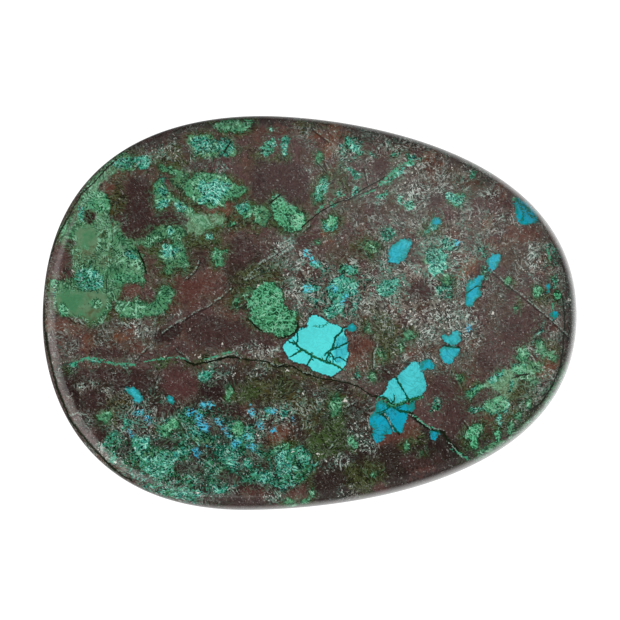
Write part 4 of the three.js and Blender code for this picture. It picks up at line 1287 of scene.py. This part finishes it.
# %% [markdown]
# Nothing in rock is even. A few noises give all the unevenness there is: clouds a few millimetres
# across for the drift of colour, lumps of about a millimetre that make the borders ragged, and
# fine grains. A noise has a colour output, and its three parts are three noises for the price of
# one. The grinding and the grain of the rock show as short straight strokes that cross each
# other, so the same noise is also drawn out in three directions.

# %% Clouds, lumps, grains and strokes
rock_place = Wire.node("ShaderNodeTexCoord", {}, {}, output="Object")


def noise(place, size, detail, roughness=0.5):
    """Three noises with lumps of a given size."""
    settings = {"Vector": place, "Scale": 1 / size, "Detail": detail, "Roughness": roughness}
    return parts(Wire.node("ShaderNodeTexNoise", {}, settings, output="Color"))


STROKE_LENGTH, STROKE_WIDTH = 0.48 * MM, 0.13 * MM
SWAY, SWAY_SIZE = 1.4 * MM, 2.0 * MM  # turns the strokes a little this way and that
slow_drift = {"Vector": rock_place, "Scale": 1 / SWAY_SIZE, "Detail": 0}
sway = Wire.node("ShaderNodeTexNoise", {}, slow_drift, output="Color")
swaying_place = Wire.node("ShaderNodeVectorMath", {"operation": "MULTIPLY_ADD"},
                          {0: sway, 1: (SWAY, SWAY, SWAY), 2: rock_place})


def strokes(turn):
    """Three noises drawn out into short straight strokes, turned by some degrees."""
    size = (STROKE_LENGTH, STROKE_WIDTH, STROKE_LENGTH)
    turned = {"Vector": swaying_place, "Rotation": (0, 0, math.radians(turn)), "Scale": size}
    drawn_out = Wire.node("ShaderNodeMapping", {"vector_type": "TEXTURE"}, turned)
    return noise(drawn_out, 1, detail=1)


def crossing(first, second, third, start, full):
    """Strokes in three directions, where a noise is above a level."""
    return larger(mask(first, start, full), larger(mask(second, start, full), mask(third, start, full)))


cloud_a, cloud_b, cloud_c = noise(rock_place, 4.0 * MM, detail=3)
patch_a, patch_b, patch_c = noise(rock_place, 2.0 * MM, detail=3)
lump_a, lump_b, lump_c = noise(rock_place, 1.2 * MM, detail=4, roughness=0.65)
grain_a, grain_b, grain_c = noise(rock_place, 0.17 * MM, detail=1)
east_a, east_b, east_c = strokes(25)
north_a, north_b, north_c = strokes(100)
west_a, west_b, west_c = strokes(152)
light_strokes = crossing(east_a, north_a, west_a, 0.62, 0.66)
dark_strokes = crossing(east_b, north_b, west_b, 0.58, 0.62)
more_strokes = crossing(east_c, north_c, west_c, 0.61, 0.66)
clumps = mask(lump_a, 0.44, 0.58)
sparkle = mask(grain_c, 0.67, 0.7)
print("The strokes are", STROKE_LENGTH / MM, "mm long")

# %% [markdown]
# Green copper minerals grow in small round bunches, packed side by side. Cut and polished, each
# bunch is a cell with a pale border, so the green patches get a net of pale veins.

# %% Net of veins
BUNCH_SIZE = 0.4 * MM
CROOKEDNESS = 0.05  # how far the borders of the bunches stray, as a share of their place
crooked = noise(rock_place, 0.5 * MM, detail=1)[0]
bent = Wire.node("ShaderNodeVectorMath", {"operation": "SCALE"},
                 {0: rock_place, "Scale": 1 + (crooked - 0.5) * CROOKEDNESS})
cell_border = Wire.node("ShaderNodeTexVoronoi", {"feature": "DISTANCE_TO_EDGE"},
                        {"Vector": bent, "Scale": 1 / BUNCH_SIZE}, output="Distance")
veins = mask(cell_border, 0.14, 0.05) * mask(grain_b, 0.4, 0.5)
print("The veins go round bunches of", BUNCH_SIZE / MM, "mm")

# %% [markdown]
# The map holds for the top, where the picture shows the stone. Down the sides its borders would
# run as straight stripes, so the map fades there, and the clouds take its place. The minerals in
# them are the same, only their places are free.

# %% Down the sides
FADE_START = 5.9 * MM  # height at which the map starts to fade
FADE_END = 3.6 * MM
CLOUD_DEPTH = 8  # millimetres of depth from the faintest to the thickest part of a cloud
GRAIN_SHARE = 0.35  # how much the grains count beside the lumps
_, _, height = parts(rock_place)
down = mask(height, FADE_START, FADE_END)


def mineral_depth(name, cloud, share, ragged, lumps, grains):
    """A mineral's depth in millimetres: from the map on top, and from a cloud on the sides."""
    free_depth = (cloud - share) * CLOUD_DEPTH
    mapped = on_mesh(name)
    rough = ((lumps - 0.5) + (grains - 0.5) * GRAIN_SHARE) * ragged
    return mapped + (free_depth - mapped) * down + rough


blue_tone = on_mesh("chrysocolla_tone")
malachite_tone = on_mesh("malachite_tone")
green_tone = on_mesh("green_grains_tone")
blue_depth = mineral_depth("chrysocolla", cloud_a, 0.68, 0.7 + blue_tone * 0.9, lump_a, grain_a)
specks_depth = mineral_depth("blue_specks", cloud_c, 0.7, 1.6, lump_b, west_a)
malachite_depth = mineral_depth("malachite", cloud_b, 0.56, 2.5 - malachite_tone * 1.0, lump_b, north_b)
green_depth = mineral_depth("green_grains", cloud_c, 0.6, 2.6 - green_tone * 1.1, lump_c, east_b)
stained_depth = mineral_depth("stained_rock", cloud_b, 0.5, 4.0, lump_a, west_b)
rust_depth = mineral_depth("rust", cloud_a, 0.6, 4.0, lump_c, north_c)
bare_depth = mineral_depth("bare_rock", cloud_c, 0.62, 1.6, lump_b, east_c)
dark_ground_and_rim_shade_depth = mineral_depth("dark_ground", cloud_b, 0.5, 4.0, lump_c, west_c)
pale_depth = mineral_depth("pale_grains", cloud_a, 0.5, 4.0, lump_b, north_a)
print("The map fades between", FADE_START / MM, "and", FADE_END / MM, "mm up")

# %% [markdown]
# ## Brown rock
#
# The rock that holds the minerals is brown with iron, a little redder or more olive from place to
# place, and full of dark pits and strokes. It comes first, and every mineral is laid over it. A
# colour is built up as a painter would do it: `layered` starts with one colour and lays others
# over it, each with the amount that stands before it. In clean patches the rock is bare and
# smooth, so these take most of the roughness away.

# %% Brown rock
bare = mask(bare_depth, -0.2, 0.25)
pale_amount = mask(pale_depth, -0.4, 0.4)
pale_tone = on_mesh("pale_grains_tone")
patchy = mask(patch_b, 0.4, 0.54) * 0.7 + 0.3
pepper_amount = larger(on_mesh("peppering") * patchy, pale_amount * 0.9) * (1 - bare * 0.8)
rough_amount = 0.32 + pepper_amount * 0.4
dark_brown = mix(on_mesh("dark_ground_tone"), seen(58, 46, 38), seen(34, 28, 26))
brown = layered(
    seen(86, 63, 61),
    (mask(patch_a, 0.48, 0.6) * 0.6, seen(78, 63, 46)),  # olive drifts
    (mask(patch_b, 0.55, 0.62) * 0.7, seen(96, 66, 56)),  # redder ones
    (mask(patch_c, 0.5, 0.57) * pepper_amount * 0.85, seen(96, 102, 92)),  # greyer where the peppering is thick
    (mask(lump_b, 0.5, 0.6) * pepper_amount * 0.8, seen(124, 120, 110)),  # pale lumps there
    # dark ground, and painted shade along the rim
    (mask(dark_ground_and_rim_shade_depth, -0.6, 0.6) * 0.9, dark_brown),
)
rock = layered(
    brown,
    (bare, mix(on_mesh("bare_rock_tone"), seen(44, 31, 30), seen(88, 65, 62))),
    (mask(lump_a, 0.5, 0.62) * rough_amount, seen(46, 34, 31)),  # dark lumps
    (mask(grain_b, 0.5, 0.62) * rough_amount, seen(42, 32, 30)),  # dark grains
    (dark_strokes * rough_amount, seen(24, 18, 16)),
)
print("Brown rock is built from", len(polish.node_tree.nodes), "nodes")

# %% [markdown]
# ## Stained rock and rust
#
# Copper has crept into the rock round the green minerals and left a mossy film. Elsewhere the
# iron has rusted to purple red and orange. Neither has a sharp border, so both fade in over most
# of a millimetre. The film also lies round every patch of malachite, without being mapped there.

# %% Stained rock and rust
around_malachite = malachite_depth + mask(patch_b, 0.4, 0.6) * 0.6
stained = mask(larger(stained_depth, around_malachite), -0.4, 0.5) * (1 - bare * 0.8)
moss = layered(
    mix(on_mesh("stained_rock_tone"), seen(72, 60, 36), seen(52, 84, 40)),
    (mask(lump_c, 0.45, 0.6) * 0.7, seen(40, 42, 24)),  # darker lumps
    (dark_strokes * 0.8, seen(22, 22, 14)),
    (more_strokes * 0.5, seen(84, 104, 62)),
)
rust = layered(
    mix(on_mesh("rust_tone"), seen(78, 50, 52), seen(118, 72, 48)),
    (mask(grain_b, 0.5, 0.62) * 0.4, seen(56, 36, 32)),  # dark grains
)
rock = layered(rock, (stained * 0.85, moss), (mask(rust_depth, -0.4, 0.4) * 0.75, rust))
pepper_amount = pepper_amount * (1 - stained * 0.5)
print("Stained rock brings the net to", len(polish.node_tree.nodes), "nodes")

# %% [markdown]
# ## Pale grains
#
# Quartz lies through the brown rock as fine pale grains and short scratches of light, thick in
# some stretches and missing in others. The peppering says how thick. Some of the strokes are
# grey or greenish, others nearly white, and a few grains flash.

# %% Pale grains
dull_grain = mix(mask(cloud_c, 0.45, 0.55), seen(148, 144, 134), seen(120, 146, 134))
teal_strokes = mask(grain_a, 0.5, 0.58) * mask(lump_c, 0.46, 0.56) * (0.2 + pale_tone)
rock = layered(
    rock,
    (more_strokes * (pepper_amount * 0.6 + 0.06), dull_grain),
    (light_strokes * clumps * (pepper_amount * 0.95 + 0.05), seen(184, 194, 186)),
    (teal_strokes * pepper_amount * 0.8, seen(86, 146, 128)),
    (sparkle * (0.2 + pepper_amount * 0.75), seen(220, 220, 210)),
)
print("Pale grains bring the net to", len(polish.node_tree.nodes), "nodes")

# %% [markdown]
# ## Malachite
#
# Malachite is opaque and green. A dull patch is smooth and greyish, like the field on the left,
# and a bright one is full of dark strokes, pale veins and light grains, so its tone sets how
# much texture it gets. A bright patch also has a sharp dark border, and a dull one a soft edge.

# %% Malachite
near_green = mask(larger(malachite_depth, green_depth), -0.8, -0.1)
texture = mask(malachite_tone, 0.0, 0.3) * 0.85 + 0.1
pale_strokes = larger(light_strokes, mask(grain_c, 0.5, 0.6) * 0.6) * pale_amount * pale_tone
malachite = layered(
    mix(malachite_tone, seen(98, 130, 98), seen(48, 132, 86)),
    (mask(patch_a, 0.48, 0.58) * (0.8 - malachite_tone), seen(64, 124, 86)),  # greener drifts
    (mask(patch_c, 0.53, 0.6) * (0.9 - malachite_tone), seen(84, 88, 60)),  # olive ones
    (mask(lump_c, 0.5, 0.6) * texture * 0.7, seen(44, 88, 58)),  # dark lumps
    (mask(lump_a, 0.54, 0.64) * (0.7 - malachite_tone), seen(76, 86, 56)),  # brownish ones
    (mask(grain_a, 0.54, 0.62) * texture * 0.5, seen(90, 166, 122)),  # light grains
    (dark_strokes * texture, seen(18, 50, 32)),
    (veins * mask(malachite_tone, 0.3, 1.0), seen(104, 188, 146)),
    (light_strokes * clumps * texture, seen(142, 200, 166)),
    (pale_strokes, seen(146, 196, 164)),  # where pale grains are mapped over it
)
softness = 0.12 - malachite_tone * 0.1
in_malachite = mask(malachite_depth, -0.04 - softness, 0.04 + softness) * (1 - bare)
malachite_edge = mask(abs(malachite_depth + 0.05), 0.14, 0.02) * malachite_tone
rock = layered(
    rock,
    (more_strokes * near_green * 0.3, seen(74, 128, 96)),  # a few green strokes round it
    (in_malachite, malachite),
    (malachite_edge * (1 - bare) * 0.8, seen(24, 36, 20)),
)
print("Malachite brings the net to", len(polish.node_tree.nodes), "nodes")

# %% [markdown]
# ## Green grains
#
# Where malachite and chrysocolla grew mixed, they lie as fine grains of teal, dark green and
# nearly white, and the rock shows between them. Coverage says where the grains are: the higher
# the tone, the closer they lie. The brightest malachite lies over them.

# %% Green grains
in_green = mask(green_depth, -0.08, 0.08) * (1 - bare * 0.9)
in_green = in_green * (1 - in_malachite * mask(malachite_tone, 0.72, 0.78))
coverage = mask(lump_b + grain_b * 0.6 + green_tone * 0.35, 0.84, 0.92)
in_grains = in_green * coverage
green_grains = layered(
    mix(green_tone, seen(32, 66, 50), seen(36, 128, 102)),
    (mask(cloud_a, 0.45, 0.55) * 0.7, seen(58, 118, 74)),  # drifts of leaf green
    (mask(lump_a, 0.52, 0.6) * 0.8, seen(48, 144, 134)),  # teal lumps
    (mask(grain_b, 0.5, 0.58) * (0.95 - green_tone * 0.35), seen(12, 32, 26)),  # dark grains
    (dark_strokes * 0.95, seen(12, 34, 26)),
    (mask(grain_a, 0.55, 0.63) * (0.35 + green_tone * 0.4), seen(84, 182, 154)),  # light grains
    (veins * mask(green_tone, 0.4, 1.5), seen(110, 204, 184)),
    (light_strokes * clumps * (0.4 + green_tone * 0.6), seen(150, 226, 196)),
)
rock = layered(
    rock,
    ((in_green - in_grains) * green_tone * 0.6, seen(16, 40, 34)),  # the ground between them
    (in_grains, green_grains),
    (sparkle * in_grains * 0.5, seen(200, 232, 216)),
)
print("Green grains bring the net to", len(polish.node_tree.nodes), "nodes")

# %% [markdown]
# ## Chrysocolla
#
# Chrysocolla is what a buyer looks for: sky blue, smooth and nearly even in the palest patches,
# darker and more broken in the small ones. The palest have a thin shadow round them, and the
# deep blue ones a green border where they pass into malachite. In places, most of them in the
# lower left, it lies only as specks, which are drawn as strokes and grains in a patch.

# %% Blue specks
specks = layered(
    mix(on_mesh("blue_specks_tone"), seen(92, 206, 206), seen(50, 158, 198)),
    (mask(grain_a, 0.5, 0.56) * 0.85, seen(20, 76, 88)),  # dark grains
    (more_strokes * 0.8, seen(100, 196, 220)),
)
in_specks = mask(specks_depth, -0.1, 0.1) * larger(more_strokes, mask(grain_b, 0.49, 0.53))
rock = mix(in_specks, rock, specks)
print("Blue specks bring the net to", len(polish.node_tree.nodes), "nodes")

# %% Chrysocolla
blue_parts = larger(light_strokes, mask(patch_b, 0.46, 0.56) * 0.7)
green_border = mask(blue_depth + (lump_c - 0.5) * 1.2, 0.24, 0.06) * mask(blue_tone, 0.3, 0.6)
chrysocolla = layered(
    mix(blue_tone, seen(88, 228, 228), seen(0, 138, 168)),
    (mask(lump_b, 0.48, 0.58) * (0.1 + blue_tone * 0.4), seen(20, 136, 136)),  # darker lumps
    (dark_strokes * (0.1 + blue_tone * 0.6), seen(10, 84, 92)),
    (blue_parts * mask(blue_tone, 0.3, 0.7), seen(20, 160, 188)),
    (green_border * 0.7, seen(30, 118, 92)),
)
edge_shadow = mask(blue_depth, -0.18, -0.02) * (0.8 - blue_tone * 0.6)
rock = layered(
    rock,
    (edge_shadow, seen(24, 30, 28)),
    (mask(blue_depth, -0.04, 0.04), chrysocolla),
)
print("Chrysocolla brings the net to", len(polish.node_tree.nodes), "nodes")

# %% [markdown]
# ## Cracks, veins, lines and quartz
#
# The lines come last, because they cut through every mineral. Each is drawn where its signed
# distance is near nought, and ends where its plain distance grows. Lumps and grains are added to
# the distance, so that no line runs as straight as a ruler's. A pale line has a dark shade along
# one side. The lines belong to the top, and fade down the sides with the map.

# %% Cracks, veins, lines and quartz
on_top_only = 1 - down
in_blue = mask(blue_depth, -0.1, 0.1)


def wandering(name, lumps, grains, lump_sway, grain_sway):
    """How far a place is across a line, in half widths of it, made uneven by lumps and grains."""
    return abs(on_mesh(name) + (lumps - 0.5) * lump_sway + (grains - 0.5) * grain_sway)


# The crack map also draws the painted dark lines of shade along the rim.
crack_and_rim_shade = mask(wandering("crack_and_rim_shade", lump_c, grain_a, 3, 3), 1.4, 0.7)
crack_and_rim_shade = crack_and_rim_shade * mask(on_mesh("crack_and_rim_shade_distance"), 0.3, 0.2) * on_top_only
green_vein = mask(wandering("green_vein", lump_b, grain_b, 4, 5), 1.3, 0.8)
green_vein = green_vein * mask(on_mesh("green_vein_distance"), 0.25, 0.17)
green_vein = green_vein * mask(grain_a, 0.42, 0.48) * on_top_only
line_near = mask(on_mesh("pale_line_distance"), 0.25, 0.17)
pale_line = mask(wandering("pale_line", lump_a, grain_c, 4, 5), 1.2, 0.6) * line_near
pale_line = pale_line * mask(grain_b, 0.46, 0.53) * on_top_only
line_shade = mask(abs(on_mesh("pale_line") + 3), 2.2, 1.0) * line_near * on_top_only
quartz = mask(on_mesh("quartz") + (grain_c - 0.5) * 0.6, 0.0, 0.07)
rock = layered(
    rock,
    # cracks, and painted shade lines along the rim
    (crack_and_rim_shade, mix(in_blue, seen(26, 32, 20), seen(14, 76, 56))),
    (green_vein * 0.8, mix(in_blue, seen(70, 166, 130), seen(34, 96, 42))),
    (line_shade * 0.6, seen(22, 20, 18)),
    (pale_line * 0.7, seen(146, 168, 156)),
    (quartz * on_top_only, seen(205, 205, 195)),
)
print("The lines bring the net to", len(polish.node_tree.nodes), "nodes")

# %% [markdown]
# ## Polish
#
# The stone was polished until it mirrored, but quartz, malachite and rock wear down at different
# speeds, so the polish is a little duller over the pale grains, and fine pits catch the light.

# %% Plug the rock in
SHINE = 0.18  # roughness of the polish
PALE_DULLNESS = 0.08  # more over the pale grains
GRAIN_DULLNESS = 0.15  # more or less from grain to grain
PIT_DEPTH = 0.01 * MM
PIT_STRENGTH = 0.3
Wire.net.links.new(rock.socket, shader.inputs["Base Color"])
roughness = SHINE + pale_amount * PALE_DULLNESS + (grain_a - 0.5) * GRAIN_DULLNESS
Wire.net.links.new(roughness.socket, shader.inputs["Roughness"])
pit_sockets = {"Strength": PIT_STRENGTH, "Distance": PIT_DEPTH, "Height": grain_b}
pits = Wire.node("ShaderNodeBump", {}, pit_sockets)
Wire.net.links.new(pits.socket, shader.inputs["Normal"])
print("The whole net has", len(Wire.net.nodes), "nodes")

# %% [markdown]
# ## Table and lights
#
# The picture shows pure white round the stone and no shadow. A photographer gets that by laying
# the stone on a table of white glass that is lit from below. The polished edge is a curved
# mirror, and tells what stood round the stone: a large soft box to the lower left, whose light
# lies along the edge as a bright band, a white card low on the right, pale walls, and darkness
# straight above.

# %% Set the table
TABLE_SIDE = 3.0  # metres
TABLE_GAP = 0.02 * MM  # keeps the stone's flat underside just off the glass
GLASS_GREY = 0.05  # nearly black, so that the glow alone makes the table white
GLOW = 1.1

bpy.ops.object.select_all(action="DESELECT")
bpy.ops.mesh.primitive_plane_add(size=TABLE_SIDE, location=(0, 0, 0))
table = bpy.context.object
table.name = "table_top"
for point in table.data.vertices:
    point.co.z -= TABLE_GAP
glass = bpy.data.materials.new("white_glass")
glass.use_nodes = True
glass_shader = glass.node_tree.nodes["Principled BSDF"]
glass_shader.inputs["Base Color"].default_value = (GLASS_GREY, GLASS_GREY, GLASS_GREY, 1)
glass_shader.inputs["Roughness"].default_value = 1.0
glass_shader.inputs["Emission Color"].default_value = (1, 1, 1, 1)
glass_shader.inputs["Emission Strength"].default_value = GLOW
table.data.materials.append(glass)
table.visible_glossy = False
table.visible_diffuse = False
print("The table is", TABLE_SIDE, "metres wide")

# %% Hang the soft box


def soft_box(name, azimuth, elevation, distance, width, height, power):
    """A flat light that hangs round the stone and faces it. Its place is given in degrees."""
    light = bpy.data.lights.new(name, "AREA")
    light.shape = "RECTANGLE"
    light.size = width
    light.size_y = height
    light.energy = power
    holder = bpy.data.objects.new(name, light)
    bpy.context.scene.collection.objects.link(holder)
    turn, rise = math.radians(azimuth), math.radians(elevation)
    across = math.cos(rise)
    away = Vector((math.cos(turn) * across, math.sin(turn) * across, math.sin(rise)))
    holder.location = away * distance
    holder.rotation_mode = "QUATERNION"
    holder.rotation_quaternion = away.to_track_quat("Z", "Y")
    holder.visible_camera = False


soft_box("left_soft_box", azimuth=205, elevation=46, distance=0.5, width=0.55, height=0.7, power=2.4)
print("One soft box hangs to the lower left")

# %% [markdown]
# A room can be given to Blender as a world: a light that depends on nothing but where one looks.
# `upwards` is 1 straight above, 0 at the height of the table and -1 straight below. The walls
# take the middle of it, and the card lies low, where the lower half of the edge mirrors it.

# %% Paint the room
WALL_LIGHT = 0.45
CEILING_LIGHT = 0.05
UNDER_LIGHT = 0.1
CARD_LIGHT = 1.6
CARD_TURN = math.radians(-12)  # the white card stands on the right, a little to the front
WALL_START, WALL_FULL = -0.2, 0.1  # how steeply up one looks, as a height on a ball of radius 1
CEILING_START, CEILING_FULL = 0.8, 0.97
CARD_TOP, CARD_FULL = -0.1, -0.7
CARD_SIDE, CARD_MIDDLE = -0.35, 0.5  # how far to the right one looks, on the same ball

room = bpy.data.worlds.new("studio")
room.use_nodes = True
bpy.context.scene.world = room
Wire.net = room.node_tree
rightwards, backwards, upwards = parts(Wire.node("ShaderNodeTexCoord", {}, {}, output="Generated"))
room_light = UNDER_LIGHT + mask(upwards, WALL_START, WALL_FULL) * (WALL_LIGHT - UNDER_LIGHT)
room_light = room_light + mask(upwards, CEILING_START, CEILING_FULL) * (CEILING_LIGHT - WALL_LIGHT)
to_the_card = rightwards * math.cos(CARD_TURN) + backwards * math.sin(CARD_TURN)
on_the_card = mask(to_the_card, CARD_SIDE, CARD_MIDDLE) * mask(upwards, CARD_TOP, CARD_FULL)
room_light = room_light + on_the_card * CARD_LIGHT
background = room.node_tree.nodes["Background"]
background.inputs["Color"].default_value = (1, 1, 1, 1)
room.node_tree.links.new(room_light.socket, background.inputs["Strength"])
bpy.context.scene.view_settings.view_transform = "Standard"
print("The walls give", WALL_LIGHT, "and the ceiling", CEILING_LIGHT)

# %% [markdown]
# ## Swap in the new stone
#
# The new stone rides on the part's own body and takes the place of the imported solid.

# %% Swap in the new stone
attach(stone, "root")
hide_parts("stone")
